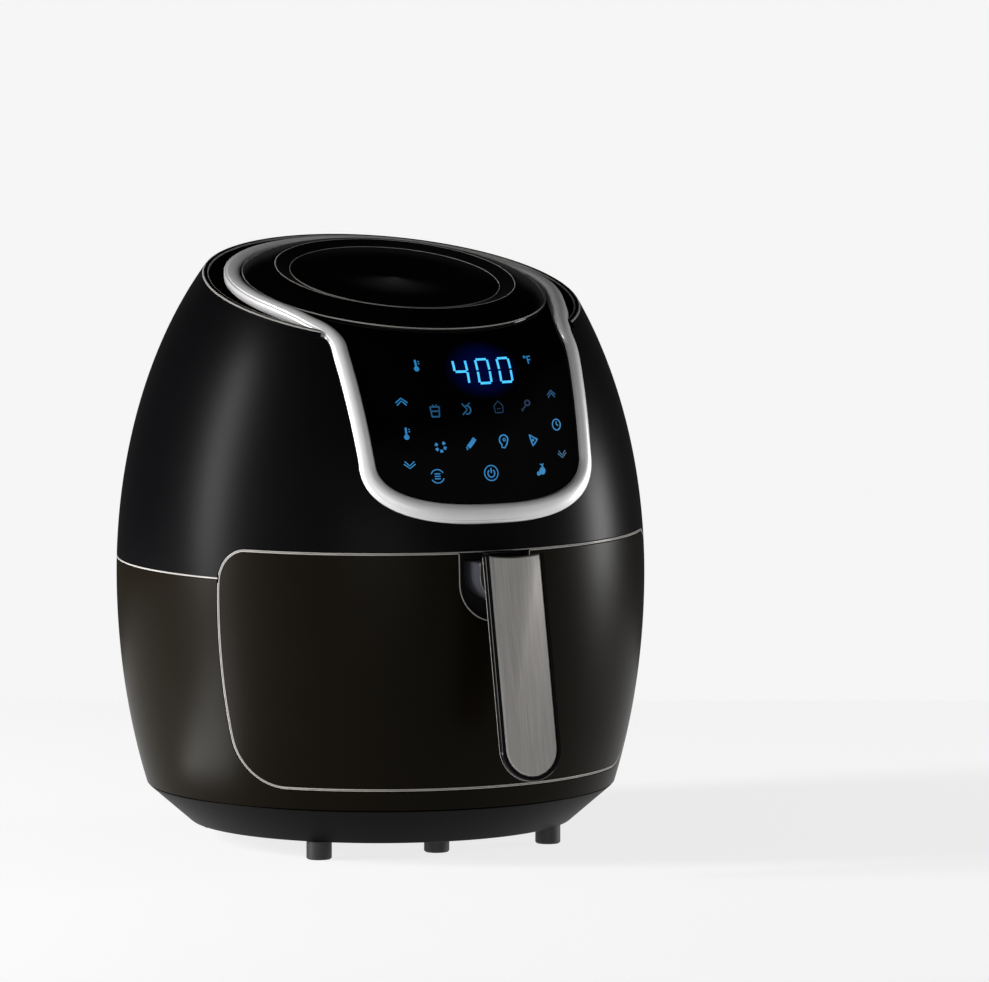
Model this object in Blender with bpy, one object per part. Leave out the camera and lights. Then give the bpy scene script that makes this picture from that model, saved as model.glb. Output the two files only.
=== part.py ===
"""Air fryer with a pull-out drawer: a turned plastic housing, a tilted lid, a touch panel and a handle.

Every size is in millimetres and becomes metres when a mesh is made. The front faces -Y. Heights are above
the worktop, radii are from the housing's upright axis, and "reach" is the distance in front of that axis.
"""

from math import cos, pi, radians, sin, sqrt

import bmesh
import bpy
from mathutils import Matrix, Vector

MM = 0.001

# Housing: a turned body, widest a little under half its height, in two shells.
BODY_RADIUS = 145.0
WIDEST_HEIGHT = 146.0
UPPER_SEMI_HEIGHT = 226.0
LOWER_SEMI_HEIGHT = 249.0
WALL = 2.6
SEAM = 0.8
PARTING_HEIGHT = 155.6
SKIRT_HEIGHT = 31.0
SKIRT_BOTTOM = 10.2
SKIRT_BOTTOM_RADIUS = 104.6
FOOT_CIRCLE = 96.8
CENTRE_FOOT_REACH = 71.0
FOOT_RADIUS = 6.9
SIDES = 48

# Lid: everything on top lies in one plane that leans down towards the front.
LID_LEAN = radians(12.5)
LID_REACH = 17.6
LID_HEIGHT = 305.5
RIM_DROP = 2.8
SKIN_ROUNDING = 18.0
COVER_RADIUS = 83.6
DISC_RADIUS = 57.8

# Trim: one silver band round the lid and down round the touch panel.
TRIM_RADIUS = 89.05
TRIM_HALF_WIDTH = 4.2
TRIM_FOOT_HALF_WIDTH = 5.2
TRIM_PROUD = 2.8
TRIM_ROOT = -3.4
PANEL_HALF_WIDTH = 65.2
PANEL_CORNER_HEIGHT = 222.0
PANEL_BOTTOM = 191.8
PANEL_SQUARENESS = 2.7

# Drawer front: the part of the body ahead of a flat upright plane, between two heights.
# Each corner is a quarter ellipse, given as its reach and its height.
FRONT_EDGE_REACH = 66.8
FRONT_TOP = 172.2
FRONT_BOTTOM = 42.1
FRONT_TOP_CORNER = (15.0, 19.0)
FRONT_BOTTOM_CORNER = (22.0, 27.0)
FRONT_GAP = 1.3

# Notch in the drawer front where the handle's arm comes through.
NOTCH_HALF_WIDTH = 21.2
NOTCH_BOTTOM = 133.8
CUP_DEPTH = 9.0
ARM_HALF_WIDTH = 15.2
ARM_BOTTOM = 145.0
ARM_TOP = 167.0

# Handle: a grip hung from its top end, leaning out towards its foot.
HANDLE_TOP_REACH = 167.44
HANDLE_TOP_HEIGHT = 172.6
HANDLE_LEAN = radians(11.6)
HANDLE_LENGTH = 121.5
HANDLE_HALF_WIDTH = 17.4
HANDLE_DEPTH = 16.0
HANDLE_EDGE_DEPTH = 4.2
HANDLE_BACK_INSET = 8.4
HANDLE_TOP_SAG = 1.2
PLATE_INSET = 2.3
PLATE_DEPTH = 1.4

# Pan and basket: rounded squares, one inside the other.
PAN_CENTRE_REACH = 5.0
PAN_FLOOR = 46.0
PAN_TOP = 150.0
BASKET_FLOOR = 57.0
BASKET_TOP = 150.5

# Fan, heater and motor stand on the body's axis above the basket.
LINER_RADIUS = 108.0
LINER_BOTTOM = 172.5
LINER_TOP = 206.0
HEATER_HEIGHT = 184.0
GUARD_HEIGHT = 176.0
FAN_HEIGHT = 192.0
MOTOR_HEIGHT = 222.0
SHAFT_RADIUS = 4.0
TERMINALS_Y = (-54.0, 88.0)

BUTTON_TRAVEL = 3.0

# The housing's axis stands behind the frame's origin, which is the middle of the whole outline.
FRONT_REACH = HANDLE_TOP_REACH + HANDLE_LENGTH * sin(HANDLE_LEAN)
AXIS_Y = (FRONT_REACH - BODY_RADIUS) / 2


# ---------------------------------------------------------------- shapes as (points, faces), in mm


def shell_radius(height, inset=0.0):
    """Radius of the turned body: two half ellipses that meet at its widest height."""
    semi = UPPER_SEMI_HEIGHT if height > WIDEST_HEIGHT else LOWER_SEMI_HEIGHT
    return BODY_RADIUS * sqrt(1 - ((height - WIDEST_HEIGHT) / semi) ** 2) - inset


def steps_between(low, high, count):
    return [low + (high - low) * k / count for k in range(count + 1)]


def turned(profile, sides=SIDES, sweep=None):
    """A closed (radius, height) profile spun about Z. A sweep in degrees from the front leaves flat ends."""
    if sweep:
        angles = [radians(a) for a in steps_between(sweep[0], sweep[1], sides)]
    else:
        angles = [2 * pi * k / sides for k in range(sides)]
    points, rings = [], []
    on_axis = {}
    for angle in angles:
        ring = []
        for radius, height in profile:
            if radius < 1e-6 and height in on_axis:
                ring.append(on_axis[height])
                continue
            if radius < 1e-6:
                on_axis[height] = len(points)
            ring.append(len(points))
            points.append((radius * sin(angle), -radius * cos(angle), height))
        rings.append(ring)
    faces = []
    spans = len(rings) - 1 if sweep else len(rings)
    for k in range(spans):
        this, after = rings[k], rings[(k + 1) % len(rings)]
        for j in range(len(profile)):
            i = (j + 1) % len(profile)
            face = []
            for corner in (this[j], this[i], after[i], after[j]):
                if corner not in face:
                    face.append(corner)
            if len(face) > 2:
                faces.append(face)
    if sweep:
        faces += [rings[0], rings[-1]]
    return points, faces


def lofted(rings, closed=False):
    """Rings of equally many points joined in turn, with flat ends unless they close on themselves."""
    count = len(rings[0])
    points = [point for ring in rings for point in ring]
    faces = []
    for k in range(len(rings) if closed else len(rings) - 1):
        this, after = k * count, (k + 1) % len(rings) * count
        for j in range(count):
            i = (j + 1) % count
            faces.append([this + j, this + i, after + i, after + j])
    if not closed:
        faces += [list(range(count)), list(range(len(points) - count, len(points)))]
    return points, faces


def prism(outline, axis, low, high):
    """A flat outline carried along an axis. It is in (y, z) for X, (x, z) for Y and (x, y) for Z."""
    def at(point, along):
        a, b = point
        return {"X": (along, a, b), "Y": (a, along, b), "Z": (a, b, along)}[axis]

    return lofted([[at(point, low) for point in outline], [at(point, high) for point in outline]])


def block(low, high):
    outline = [(low[0], low[1]), (high[0], low[1]), (high[0], high[1]), (low[0], high[1])]
    return prism(outline, "Z", low[2], high[2])


def rounded(half_x, half_y, corner, per_corner=5, centre=(0.0, 0.0)):
    """Points round a rectangle with round corners."""
    outline = []
    for turn, (side_x, side_y) in enumerate(((1, 1), (-1, 1), (-1, -1), (1, -1))):
        for k in range(per_corner + 1):
            angle = pi / 2 * (turn + k / per_corner)
            outline.append(
                (
                    centre[0] + side_x * (half_x - corner) + corner * cos(angle),
                    centre[1] + side_y * (half_y - corner) + corner * sin(angle),
                )
            )
    return outline


def moved(shape, matrix):
    points, faces = shape
    return [tuple(matrix @ Vector(point)) for point in points], faces


def upright_hole(radius, x, y, sides=16):
    """A cutter for an upright round hole, turned so that no corner of it lies on its neighbour's edges."""
    drill = turned([(0, 400), (radius, 400), (radius, -100), (0, -100)], sides)
    return moved(drill, Matrix.Translation((x, y, 0)) @ Matrix.Rotation(pi / sides, 4, "Z"))


def along_y(shape, reach):
    """Lays a shape turned about Z down so that it points forwards, starting at a reach."""
    return moved(shape, Matrix.Translation((0, -reach, 0)) @ Matrix.Rotation(pi / 2, 4, "X"))


# ---------------------------------------------------------------- the rounded skin of lid and wall


def lid_matrix():
    """Frame of the lid: its own Z is square to the leaning top, and its -Y points down to the front."""
    return Matrix.Translation((0, -LID_REACH, LID_HEIGHT)) @ Matrix.Rotation(LID_LEAN, 4, "X")


def skin_height(point):
    """Distance outside the skin, which is the lid plane and the turned wall with a rounded edge between."""
    x, y, z = point
    over_lid = (z - LID_HEIGHT) * cos(LID_LEAN) - (y + LID_REACH) * sin(LID_LEAN)
    over_wall = sqrt(x * x + y * y) - shell_radius(z)
    near = max(SKIN_ROUNDING - abs(over_lid - over_wall), 0.0)
    return max(over_lid, over_wall) + near * near / (4 * SKIN_ROUNDING)


def skin_normal(point):
    step = 0.05
    slope = []
    for axis in range(3):
        ahead, behind = list(point), list(point)
        ahead[axis] += step
        behind[axis] -= step
        slope.append((skin_height(ahead) - skin_height(behind)) / (2 * step))
    return Vector(slope).normalized()


def on_skin(point, offset=0.0):
    point = Vector(point)
    for _ in range(8):
        point -= skin_normal(point) * (skin_height(point) - offset)
    return point


def skin_ray(x, angle, offset):
    """Where a ray from inside the body, in the upright plane at x, comes through the skin."""
    near, far = 10.0, 170.0
    for _ in range(40):
        middle = (near + far) / 2
        point = (x, -40.0 - middle * cos(angle), 225.0 + middle * sin(angle))
        if point[2] > WIDEST_HEIGHT + UPPER_SEMI_HEIGHT - 5 or skin_height(point) > offset:
            far = middle
        else:
            near = middle
    return (x, -40.0 - near * cos(angle), 225.0 + near * sin(angle))


# ---------------------------------------------------------------- objects


def material(name, colour, roughness, metallic=0.0):
    made = bpy.data.materials.new(name)
    made.use_nodes = True
    shader = made.node_tree.nodes["Principled BSDF"]
    shader.inputs["Base Color"].default_value = (*colour, 1.0)
    shader.inputs["Roughness"].default_value = roughness
    shader.inputs["Metallic"].default_value = metallic
    made.diffuse_color = (*colour, 1.0)
    return made


def mesh_of(name, shape):
    points, faces = shape
    mesh = bpy.data.meshes.new(name)
    mesh.from_pydata([tuple(value * MM for value in point) for point in points], [], faces)
    work = bmesh.new()
    work.from_mesh(mesh)
    bmesh.ops.recalc_face_normals(work, faces=work.faces)
    work.to_mesh(mesh)
    work.free()
    mesh.shade_smooth()
    mesh.set_sharp_from_angle(angle=radians(30))
    return mesh


def piece(name, shape, finish, parent):
    made = bpy.data.objects.new(name, mesh_of(name, shape))
    made.data.materials.append(finish)
    bpy.context.scene.collection.objects.link(made)
    made.parent = parent
    return made


def boolean(target, operation, shape, name):
    helper = bpy.data.objects.new(f"{target.name}_{name}", mesh_of(name, shape))
    bpy.context.scene.collection.objects.link(helper)
    helper.parent = target.parent
    helper.hide_render = True
    helper.display_type = "WIRE"
    step = target.modifiers.new(name, "BOOLEAN")
    step.operation = operation
    step.object = helper
    return helper


def cut(target, shape, name="cut"):
    return boolean(target, "DIFFERENCE", shape, name)


def keep(target, shape, name="keep"):
    return boolean(target, "INTERSECT", shape, name)


def add(target, shape, name="add"):
    return boolean(target, "UNION", shape, name)


def anchor(name, location, parent=None, rotation=(0, 0, 0)):
    made = bpy.data.objects.new(name, None)
    bpy.context.scene.collection.objects.link(made)
    made.location = [value * MM for value in location]
    made.rotation_euler = rotation
    made.parent = parent
    return made


for old in list(bpy.data.objects):
    bpy.data.objects.remove(old)

BLACK_UPPER = material("satin_black_abs", (0.012, 0.012, 0.013), 0.38)
BLACK_LOWER = material("satin_black_abs_lower", (0.014, 0.012, 0.009), 0.38)
BLACK_GLOSS = material("gloss_black_panel", (0.004, 0.004, 0.005), 0.06)
BLACK_MATT = material("matt_black_abs", (0.02, 0.02, 0.02), 0.6)
SILVER = material("silver_paint", (0.6, 0.6, 0.6), 0.3, 0.8)
STEEL = material("brushed_steel", (0.45, 0.44, 0.43), 0.35, 1.0)
PLATED = material("plated_steel", (0.55, 0.55, 0.55), 0.4, 1.0)
NON_STICK = material("non_stick_coating", (0.03, 0.03, 0.03), 0.5)
RUBBER = material("rubber", (0.02, 0.02, 0.02), 0.8)
BOARD = material("circuit_board", (0.02, 0.12, 0.05), 0.5)
HEATER = material("heater_sheath", (0.12, 0.11, 0.10), 0.45, 0.8)
CLEAR = material("smoked_plastic", (0.05, 0.05, 0.06), 0.1)

HOUSING = anchor("housing", (0, AXIS_Y, 0))
LID = anchor("lid_plane", (0, -LID_REACH, LID_HEIGHT), HOUSING, (LID_LEAN, 0, 0))
DRAWER = anchor("drawer", (0, 0, 0), HOUSING)
FAN_AXIS = anchor("fan_axis", (0, 0, FAN_HEIGHT), HOUSING)


# ---------------------------------------------------------------- housing shells


def front_outline(gap):
    """Side view of the drawer front as (y, z): round corners at its flat back edge, open past the body."""
    back = -FRONT_EDGE_REACH - gap
    past_body = back - 120.0
    top, bottom = FRONT_TOP - gap, FRONT_BOTTOM + gap
    outline = [(past_body, bottom)]
    reach, rise = (size - gap for size in FRONT_BOTTOM_CORNER)
    for angle in steps_between(0, pi / 2, 6):
        outline.append((back - reach + reach * sin(angle), bottom + rise - rise * cos(angle)))
    reach, rise = (size - gap for size in FRONT_TOP_CORNER)
    for angle in steps_between(0, pi / 2, 5):
        outline.append((back - reach + reach * cos(angle), top - rise + rise * sin(angle)))
    outline.append((past_body, top))
    return outline


def panel_half_width(height):
    """Half the distance across the trim's middle line at a height on the front wall."""
    if height >= PANEL_CORNER_HEIGHT:
        return PANEL_HALF_WIDTH + 0.068 * (height - PANEL_CORNER_HEIGHT)
    part = (PANEL_CORNER_HEIGHT - height) / (PANEL_CORNER_HEIGHT - PANEL_BOTTOM)
    return PANEL_HALF_WIDTH * max(1 - part**PANEL_SQUARENESS, 0.0) ** (1 / PANEL_SQUARENESS)


def trim_corner(count):
    """Middle line of the trim round one lower corner of the panel, as (x, height)."""
    for k in range(count + 1):
        angle = pi / 2 * k / count
        power = 2 / PANEL_SQUARENESS
        yield (
            PANEL_HALF_WIDTH * cos(angle) ** power,
            PANEL_CORNER_HEIGHT - (PANEL_CORNER_HEIGHT - PANEL_BOTTOM) * sin(angle) ** power,
        )


def panel_outline(inset, top):
    """Front view of the panel inside the trim's middle line, drawn in by an inset, as (x, z)."""
    right = [(panel_half_width(top) - inset, top), (panel_half_width(262.0) - inset, 262.0)]
    for x, height in trim_corner(10):
        away = Vector((x / PANEL_HALF_WIDTH, (height - PANEL_CORNER_HEIGHT) / 32.0))
        away.normalize()
        right.append((x - inset * away.x, height - inset * away.y))
    left = [(-x, height) for x, height in reversed(right[:-1])]
    return right + left


def trim_path():
    """Middle line of the trim on the skin, from the back of the lid down to the middle of its foot."""
    path = []
    matrix = lid_matrix()
    for degree in steps_between(180, 72, 18):
        angle = radians(degree)
        path.append(matrix @ Vector((TRIM_RADIUS * sin(angle), -TRIM_RADIUS * cos(angle), 0)))
    path += [Vector((79.8, -61.0, 297.5)), Vector((76.4, -72.5, 295.0)), Vector((72.8, -82.0, 292.0))]
    for height in (284.0, 275.0, 262.0, 248.0, 235.0):
        x = panel_half_width(height)
        path.append(Vector((x, -sqrt(shell_radius(height) ** 2 - x * x), height)))
    for x, height in trim_corner(10):
        path.append(Vector((x, -sqrt(shell_radius(height) ** 2 - x * x), height)))
    return [on_skin(point) for point in path]


def trim_loop(extra, low, high, crowned):
    """Rings across the trim all the way round. Extra widens it, and low and high are heights off the skin."""
    right = trim_path()
    left = [Vector((-p.x, p.y, p.z)) for p in reversed(right[1:-1])]
    loop = right + left
    rings = []
    for k, point in enumerate(loop):
        forward = (loop[(k + 1) % len(loop)] - loop[k - 1]).normalized()
        outward = skin_normal(point)
        across = outward.cross(forward).normalized()
        low_down = max(PANEL_CORNER_HEIGHT - point.z, 0) / (PANEL_CORNER_HEIGHT - PANEL_BOTTOM)
        half = TRIM_HALF_WIDTH + (TRIM_FOOT_HALF_WIDTH - TRIM_HALF_WIDTH) * low_down + extra
        if crowned:
            section = [(-half, low), (-half, 0.6), (-half + 1.2, high - 0.5), (-half + 2.8, high)]
        else:
            section = [(-half, low), (-half, high)]
        section += [(-a, b) for a, b in reversed(section)]
        rings.append([tuple(point + across * a + outward * b) for a, b in section])
    return rings


def make_shells():
    inner_lip = shell_radius(PARTING_HEIGHT)
    upper_heights = steps_between(334.0, PARTING_HEIGHT + SEAM / 2, 10)
    lip_top = PARTING_HEIGHT + 3.4
    upper = [(shell_radius(z), z) for z in upper_heights]
    upper += [(inner_lip - 1.1, PARTING_HEIGHT + SEAM / 2), (inner_lip - 1.1, lip_top)]
    upper += [(shell_radius(z, WALL), z) for z in [lip_top] + upper_heights[-2::-1]]
    upper_shell = piece("upper_shell", turned(upper), BLACK_UPPER, HOUSING)

    # Above the rim plane the shell is open, and the lid, trim and panel fill the opening.
    above = moved(block((-200, -200, -RIM_DROP), (200, 200, 200)), lid_matrix())
    cut(upper_shell, above, "rim_plane")
    cut(upper_shell, prism(front_outline(0.0), "X", -160, 160), "drawer_opening")
    cut(upper_shell, prism(panel_outline(0.0, 300.0), "Y", -170, -40), "panel_opening")
    cut(upper_shell, lofted(trim_loop(0.4, -7.0, 7.0, False), closed=True), "trim_seat")
    cut(upper_shell, block((-42.4, 100, 173.6), (42.4, 170, 214.4)), "exhaust_opening")

    heights = steps_between(PARTING_HEIGHT - SEAM / 2, WIDEST_HEIGHT, 1)
    heights += steps_between(WIDEST_HEIGHT, SKIRT_HEIGHT + 0.3, 7)[1:]
    lower = [(inner_lip - 1.4, lip_top - 0.8), (inner_lip - 1.4, PARTING_HEIGHT - SEAM / 2)]
    lower += [(shell_radius(z), z) for z in heights]
    lower += [(shell_radius(z, WALL), z) for z in heights[::-2]]
    lower += [(inner_lip - WALL, lip_top - 0.8)]
    lower_shell = piece("lower_shell", turned(lower), BLACK_LOWER, HOUSING)
    cut(lower_shell, prism(front_outline(0.0), "X", -160, 160), "drawer_opening")
    gland_hole = turned([(0, 20), (7.4, 20), (7.4, -20), (0, -20)], 20)
    gland_hole = moved(gland_hole, Matrix.Translation((0, 136, 60)) @ Matrix.Rotation(pi / 2, 4, "X"))
    cut(lower_shell, gland_hole, "cord_hole")


def make_base():
    top = SKIRT_HEIGHT - 0.3
    profile = [
        (shell_radius(SKIRT_HEIGHT) - 0.3, top),
        (SKIRT_BOTTOM_RADIUS, SKIRT_BOTTOM),
        (0, SKIRT_BOTTOM),
        (0, SKIRT_BOTTOM + 3.0),
        (SKIRT_BOTTOM_RADIUS - 1.0, SKIRT_BOTTOM + 3.0),
        (121.0, top),
        (122.4, 36.0),
        (124.6, 36.0),
        (124.6, top),
    ]
    base = piece("base_pan", turned(profile), BLACK_MATT, HOUSING)
    for side in (-1, 1):
        for k in range(4):
            x = side * (18 + 11 * k)
            cut(base, block((x - 2.2, 12, 0), (x + 2.2, 52, 22)), f"vent_{side}_{k}")

    # Five feet: two in front, one set back between them and two behind.
    feet = {
        "front_left": (-45.5, FOOT_CIRCLE),
        "front_right": (45.5, FOOT_CIRCLE),
        "front_centre": (0, CENTRE_FOOT_REACH),
        "rear_left": (-134.5, FOOT_CIRCLE),
        "rear_right": (134.5, FOOT_CIRCLE),
    }
    foot_top = SKIRT_BOTTOM - 0.3
    post = [(0, foot_top), (FOOT_RADIUS, foot_top), (FOOT_RADIUS, 0.6), (FOOT_RADIUS - 0.6, 0), (0, 0)]
    for name, (degree, out) in feet.items():
        angle = radians(degree)
        place = Matrix.Translation((out * sin(angle), -out * cos(angle), 0))
        piece(f"foot_{name}", moved(turned(post, 20), place), RUBBER, HOUSING)

    for k, (x, y) in enumerate(((-55, -45), (55, -45), (-55, 60), (55, 60))):
        head = [(0, foot_top), (3.6, foot_top), (3.6, foot_top - 1.2)]
        head += [(2.8, foot_top - 2.1), (0, foot_top - 2.3)]
        screw = piece(
            f"base_screw_{k + 1}", moved(turned(head, 16), Matrix.Translation((x, y, 0))), PLATED, HOUSING
        )
        slot_top = foot_top - 1.4
        cut(screw, block((x - 2.2, y - 0.5, 4), (x + 2.2, y + 0.5, slot_top)), "slot_a")
        cut(screw, block((x - 0.5, y - 2.2, 4), (x + 0.5, y + 2.2, slot_top)), "slot_b")


# ---------------------------------------------------------------- lid, trim and touch panel


def make_lid():
    cover = [
        (0, 2.6),
        (58.2, 2.6),
        (58.2, 4.1),
        (64.8, 6.5),
        (66.4, 6.5),
        (72.5, 5.2),
        (78.0, 3.5),
        (81.6, 1.6),
        (COVER_RADIUS, 0.0),
        (COVER_RADIUS, -8.0),
        (81.4, -8.0),
        (81.4, -1.0),
        (77.0, 1.2),
        (60.0, 0.2),
        (0, 0.2),
    ]
    piece("top_cover", turned(cover), BLACK_GLOSS, LID)
    disc = [(0, 4.5), (57.2, 4.5), (DISC_RADIUS, 4.1), (DISC_RADIUS, 2.9), (0, 2.9)]
    piece("lid_disc", turned(disc), BLACK_GLOSS, LID)
    carrier = [(80.6, -9.0), (80.6, -13.0), (66.0, -13.0), (66.0, -0.6), (68.0, -0.6), (68.0, -9.0)]
    ring = piece("cover_carrier", turned(carrier, 40), BLACK_MATT, LID)
    cut(ring, block((-60, -120, -20), (60, -62, 10)), "panel_clearance")

    # The trim is one band round the whole of the lid and the panel.
    piece("trim_band", lofted(trim_loop(0.0, TRIM_ROOT, TRIM_PROUD, True), closed=True), SILVER, HOUSING)

    # Air goes in through a slotted ring between the trim and the shell's rim, round the sides and the back.
    plate = [(100.8, -9.5), (100.8, -11.5), (86.0, -11.5), (86.0, -9.5)]
    grille_shape = moved(turned(plate, 30, (74, 286)), Matrix.Translation((0, 5, 0)))
    grille = piece("intake_grille", grille_shape, BLACK_MATT, LID)
    for k, degree in enumerate(steps_between(83, 277, 20)):
        angle = radians(degree)
        turn = Matrix.Translation((0, 5, 0)) @ Matrix.Rotation(angle, 4, "Z")
        cut(grille, moved(block((-2.2, -99.0, -15), (2.2, -88.5, -5)), turn), f"slot_{k}")


def sheet(high, low, half_width, columns, angles):
    """A curved plate under the skin, between two offsets, as wide as asked in front view."""
    outer, inner = [], []
    xs = steps_between(-half_width, half_width, columns)
    for angle in angles:
        outer.append([skin_ray(x, radians(angle), high) for x in xs])
        inner.append([skin_ray(x, radians(angle), low) for x in xs])
    rings = [above + below[::-1] for above, below in zip(outer, inner)]
    return lofted(rings)


def make_panel():
    angles = [84, 76, 68, 60, 53, 47, 41, 35, 28, 20, 12, 4, -4, -12, -21]
    lens = piece("panel_lens", sheet(-0.6, -3.0, 74.0, 12, angles), BLACK_GLOSS, HOUSING)
    outline = panel_outline(TRIM_HALF_WIDTH + 0.5, 304.0)
    inside = [(x, z if z > 196 else max(z, PANEL_BOTTOM + TRIM_FOOT_HALF_WIDTH + 0.6)) for x, z in outline]
    keep(lens, prism(inside, "Y", -170, -30), "panel_shape")
    bore = [(0, 60), (COVER_RADIUS + 0.7, 60), (COVER_RADIUS + 0.7, -60), (0, -60)]
    cut(lens, moved(turned(bore), lid_matrix()), "lid_edge")
    cut(lens, lofted(trim_loop(0.4, -7.0, 7.0, False), closed=True), "trim_seat")

    # The circuit board stands behind the lens and follows its lean.
    lean = Matrix.Translation((0, -113.0, 240.0)) @ Matrix.Rotation(-radians(17), 4, "X")
    board = prism(rounded(46, 33, 3, 3), "Y", -0.8, 0.8)
    piece("control_board", moved(board, lean), BOARD, HOUSING)
    display = prism(rounded(22, 10, 1.5, 3, (3.5, 21)), "Y", -6.3, -1.1)
    piece("display_module", moved(display, lean), BLACK_MATT, HOUSING)
    buzzer = along_y(turned([(0, 5), (5, 5), (5, 0), (0, 0)], 20), 0)
    buzzer = moved(buzzer, Matrix.Translation((-28, 1.1 + 5.0, -18)))
    piece("buzzer", moved(buzzer, lean), BLACK_MATT, HOUSING)


# ---------------------------------------------------------------- chamber, heater, fan and electrics


def heater_path():
    """A flat spiral of two and a half turns whose ends rise through the liner's roof."""
    turns, count = 2.5, 45
    points = []
    for k in range(count + 1):
        angle = 2 * pi * turns * k / count
        radius = 56.0 + 34.0 * k / count
        points.append((radius * sin(angle), -radius * cos(angle), HEATER_HEIGHT))
    first, last = points[0], points[-1]
    start = [(first[0], first[1] + 2, HEATER_HEIGHT + height) for height in (34.0, 10.0, 4.0)]
    end = [(last[0], last[1] - 2, HEATER_HEIGHT + height) for height in (4.0, 10.0, 34.0)]
    return start + points + end


def make_chamber():
    bay = [
        (124.0, 166.0),
        (124.0, 40.4),
        (0, 40.4),
        (0, 41.9),
        (122.5, 41.9),
        (122.5, 166.0),
    ]
    bay_wall = piece("drawer_bay", turned(bay, 48), BLACK_MATT, HOUSING)
    cut(bay_wall, block((-160, -160, 0), (160, 2.0 - FRONT_EDGE_REACH, 200)), "drawer_opening")
    for side, name in ((-1, "left"), (1, "right")):
        rail = block((side * 70 - 4, -58, 42.3), (side * 70 + 4, 70, 45.4))
        piece(f"drawer_rail_{name}", rail, PLATED, HOUSING)

    switch = block((-10, 100.5, 84), (10, 112.5, 98))
    piece("drawer_switch", switch, BLACK_MATT, HOUSING)

    liner_profile = [
        (LINER_RADIUS, LINER_TOP),
        (LINER_RADIUS, LINER_BOTTOM + 1.0),
        (LINER_RADIUS + 6.0, LINER_BOTTOM + 1.0),
        (LINER_RADIUS + 6.0, LINER_BOTTOM),
        (LINER_RADIUS - 1.0, LINER_BOTTOM),
        (LINER_RADIUS - 1.0, LINER_TOP - 1.0),
        (12.0, LINER_TOP - 1.0),
        (12.0, LINER_TOP),
    ]
    liner = piece("chamber_liner", turned(liner_profile, 36), PLATED, HOUSING)
    for y in TERMINALS_Y:
        cut(liner, upright_hole(6.0, 0, y), f"terminal_hole_{y:.0f}")
    cut(liner, block((-34, 90, 178), (34, 130, 201)), "exhaust_window")

    duct = piece("exhaust_duct", block((-38, LINER_RADIUS + 0.6, 175.5), (38, 129.5, 204)), PLATED, HOUSING)
    cut(duct, block((-36.8, 80, 176.7), (36.8, 150, 202.8)), "airway")

    grille = piece("exhaust_grille", ring_between(-0.8, 3.4, 172, 216, 3), BLACK_MATT, HOUSING)
    keep(grille, block((-42, 100, 174), (42, 160, 214)), "grille_shape")
    for k in range(6):
        low = 178.0 + 5.4 * k
        cut(grille, block((-37, 130, low), (37, 160, low + 3.0)), f"louvre_{k}")

    guard_top = GUARD_HEIGHT + 0.9
    guard = [(98, guard_top), (98, GUARD_HEIGHT), (10, GUARD_HEIGHT), (10, guard_top)]
    heater_guard = piece("heater_guard", turned(guard, 36), PLATED, HOUSING)
    for ring, (low, high, count) in enumerate(((22, 48, 6), (54, 92, 12))):
        for k in range(count):
            turn = Matrix.Rotation(2 * pi * (k + 0.5) / count, 4, "Z")
            half = 3.6 if ring == 0 else 6.5
            slot = [(-half * 0.7, -low), (half * 0.7, -low), (half, -high), (-half, -high)]
            cut(heater_guard, moved(prism(slot, "Z", 170, 182), turn), f"slot_{ring}_{k}")

    curve = bpy.data.curves.new("heating_element", "CURVE")
    curve.dimensions = "3D"
    curve.bevel_depth = 3.2 * MM
    curve.bevel_resolution = 2
    curve.use_fill_caps = True
    spline = curve.splines.new("POLY")
    path = heater_path()
    spline.points.add(len(path) - 1)
    for point, place in zip(spline.points, path):
        point.co = (*(value * MM for value in place), 1)
    curve.materials.append(HEATER)
    heater = bpy.data.objects.new("heating_element", curve)
    bpy.context.scene.collection.objects.link(heater)
    heater.parent = HOUSING


def bladed_wheel(name, radius, blade_low, blade_high, plate_low, plate_high, hub_low, hub_high, blades):
    """A fan wheel: a hub, a back plate and straight blades set a little off the radius, about the shaft."""
    bore = SHAFT_RADIUS + 0.3
    profile = [(radius, plate_high), (radius, plate_low), (12, plate_low), (12, hub_low), (bore, hub_low)]
    if hub_high > plate_high:
        profile += [(bore, hub_high), (12, hub_high), (12, plate_high)]
    else:
        profile.append((bore, plate_high))
    wheel = piece(name, turned(profile, 24), PLATED, FAN_AXIS)
    for k in range(blades):
        turn = Matrix.Rotation(2 * pi * k / blades, 4, "Z")
        lean = Matrix.Translation((0, -radius * 0.62, 0)) @ Matrix.Rotation(radians(28), 4, "Z")
        blade = block((-0.6, -radius * 0.30, blade_low), (0.6, radius * 0.30, blade_high))
        add(wheel, moved(blade, turn @ lean), f"blade_{k}")


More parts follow.
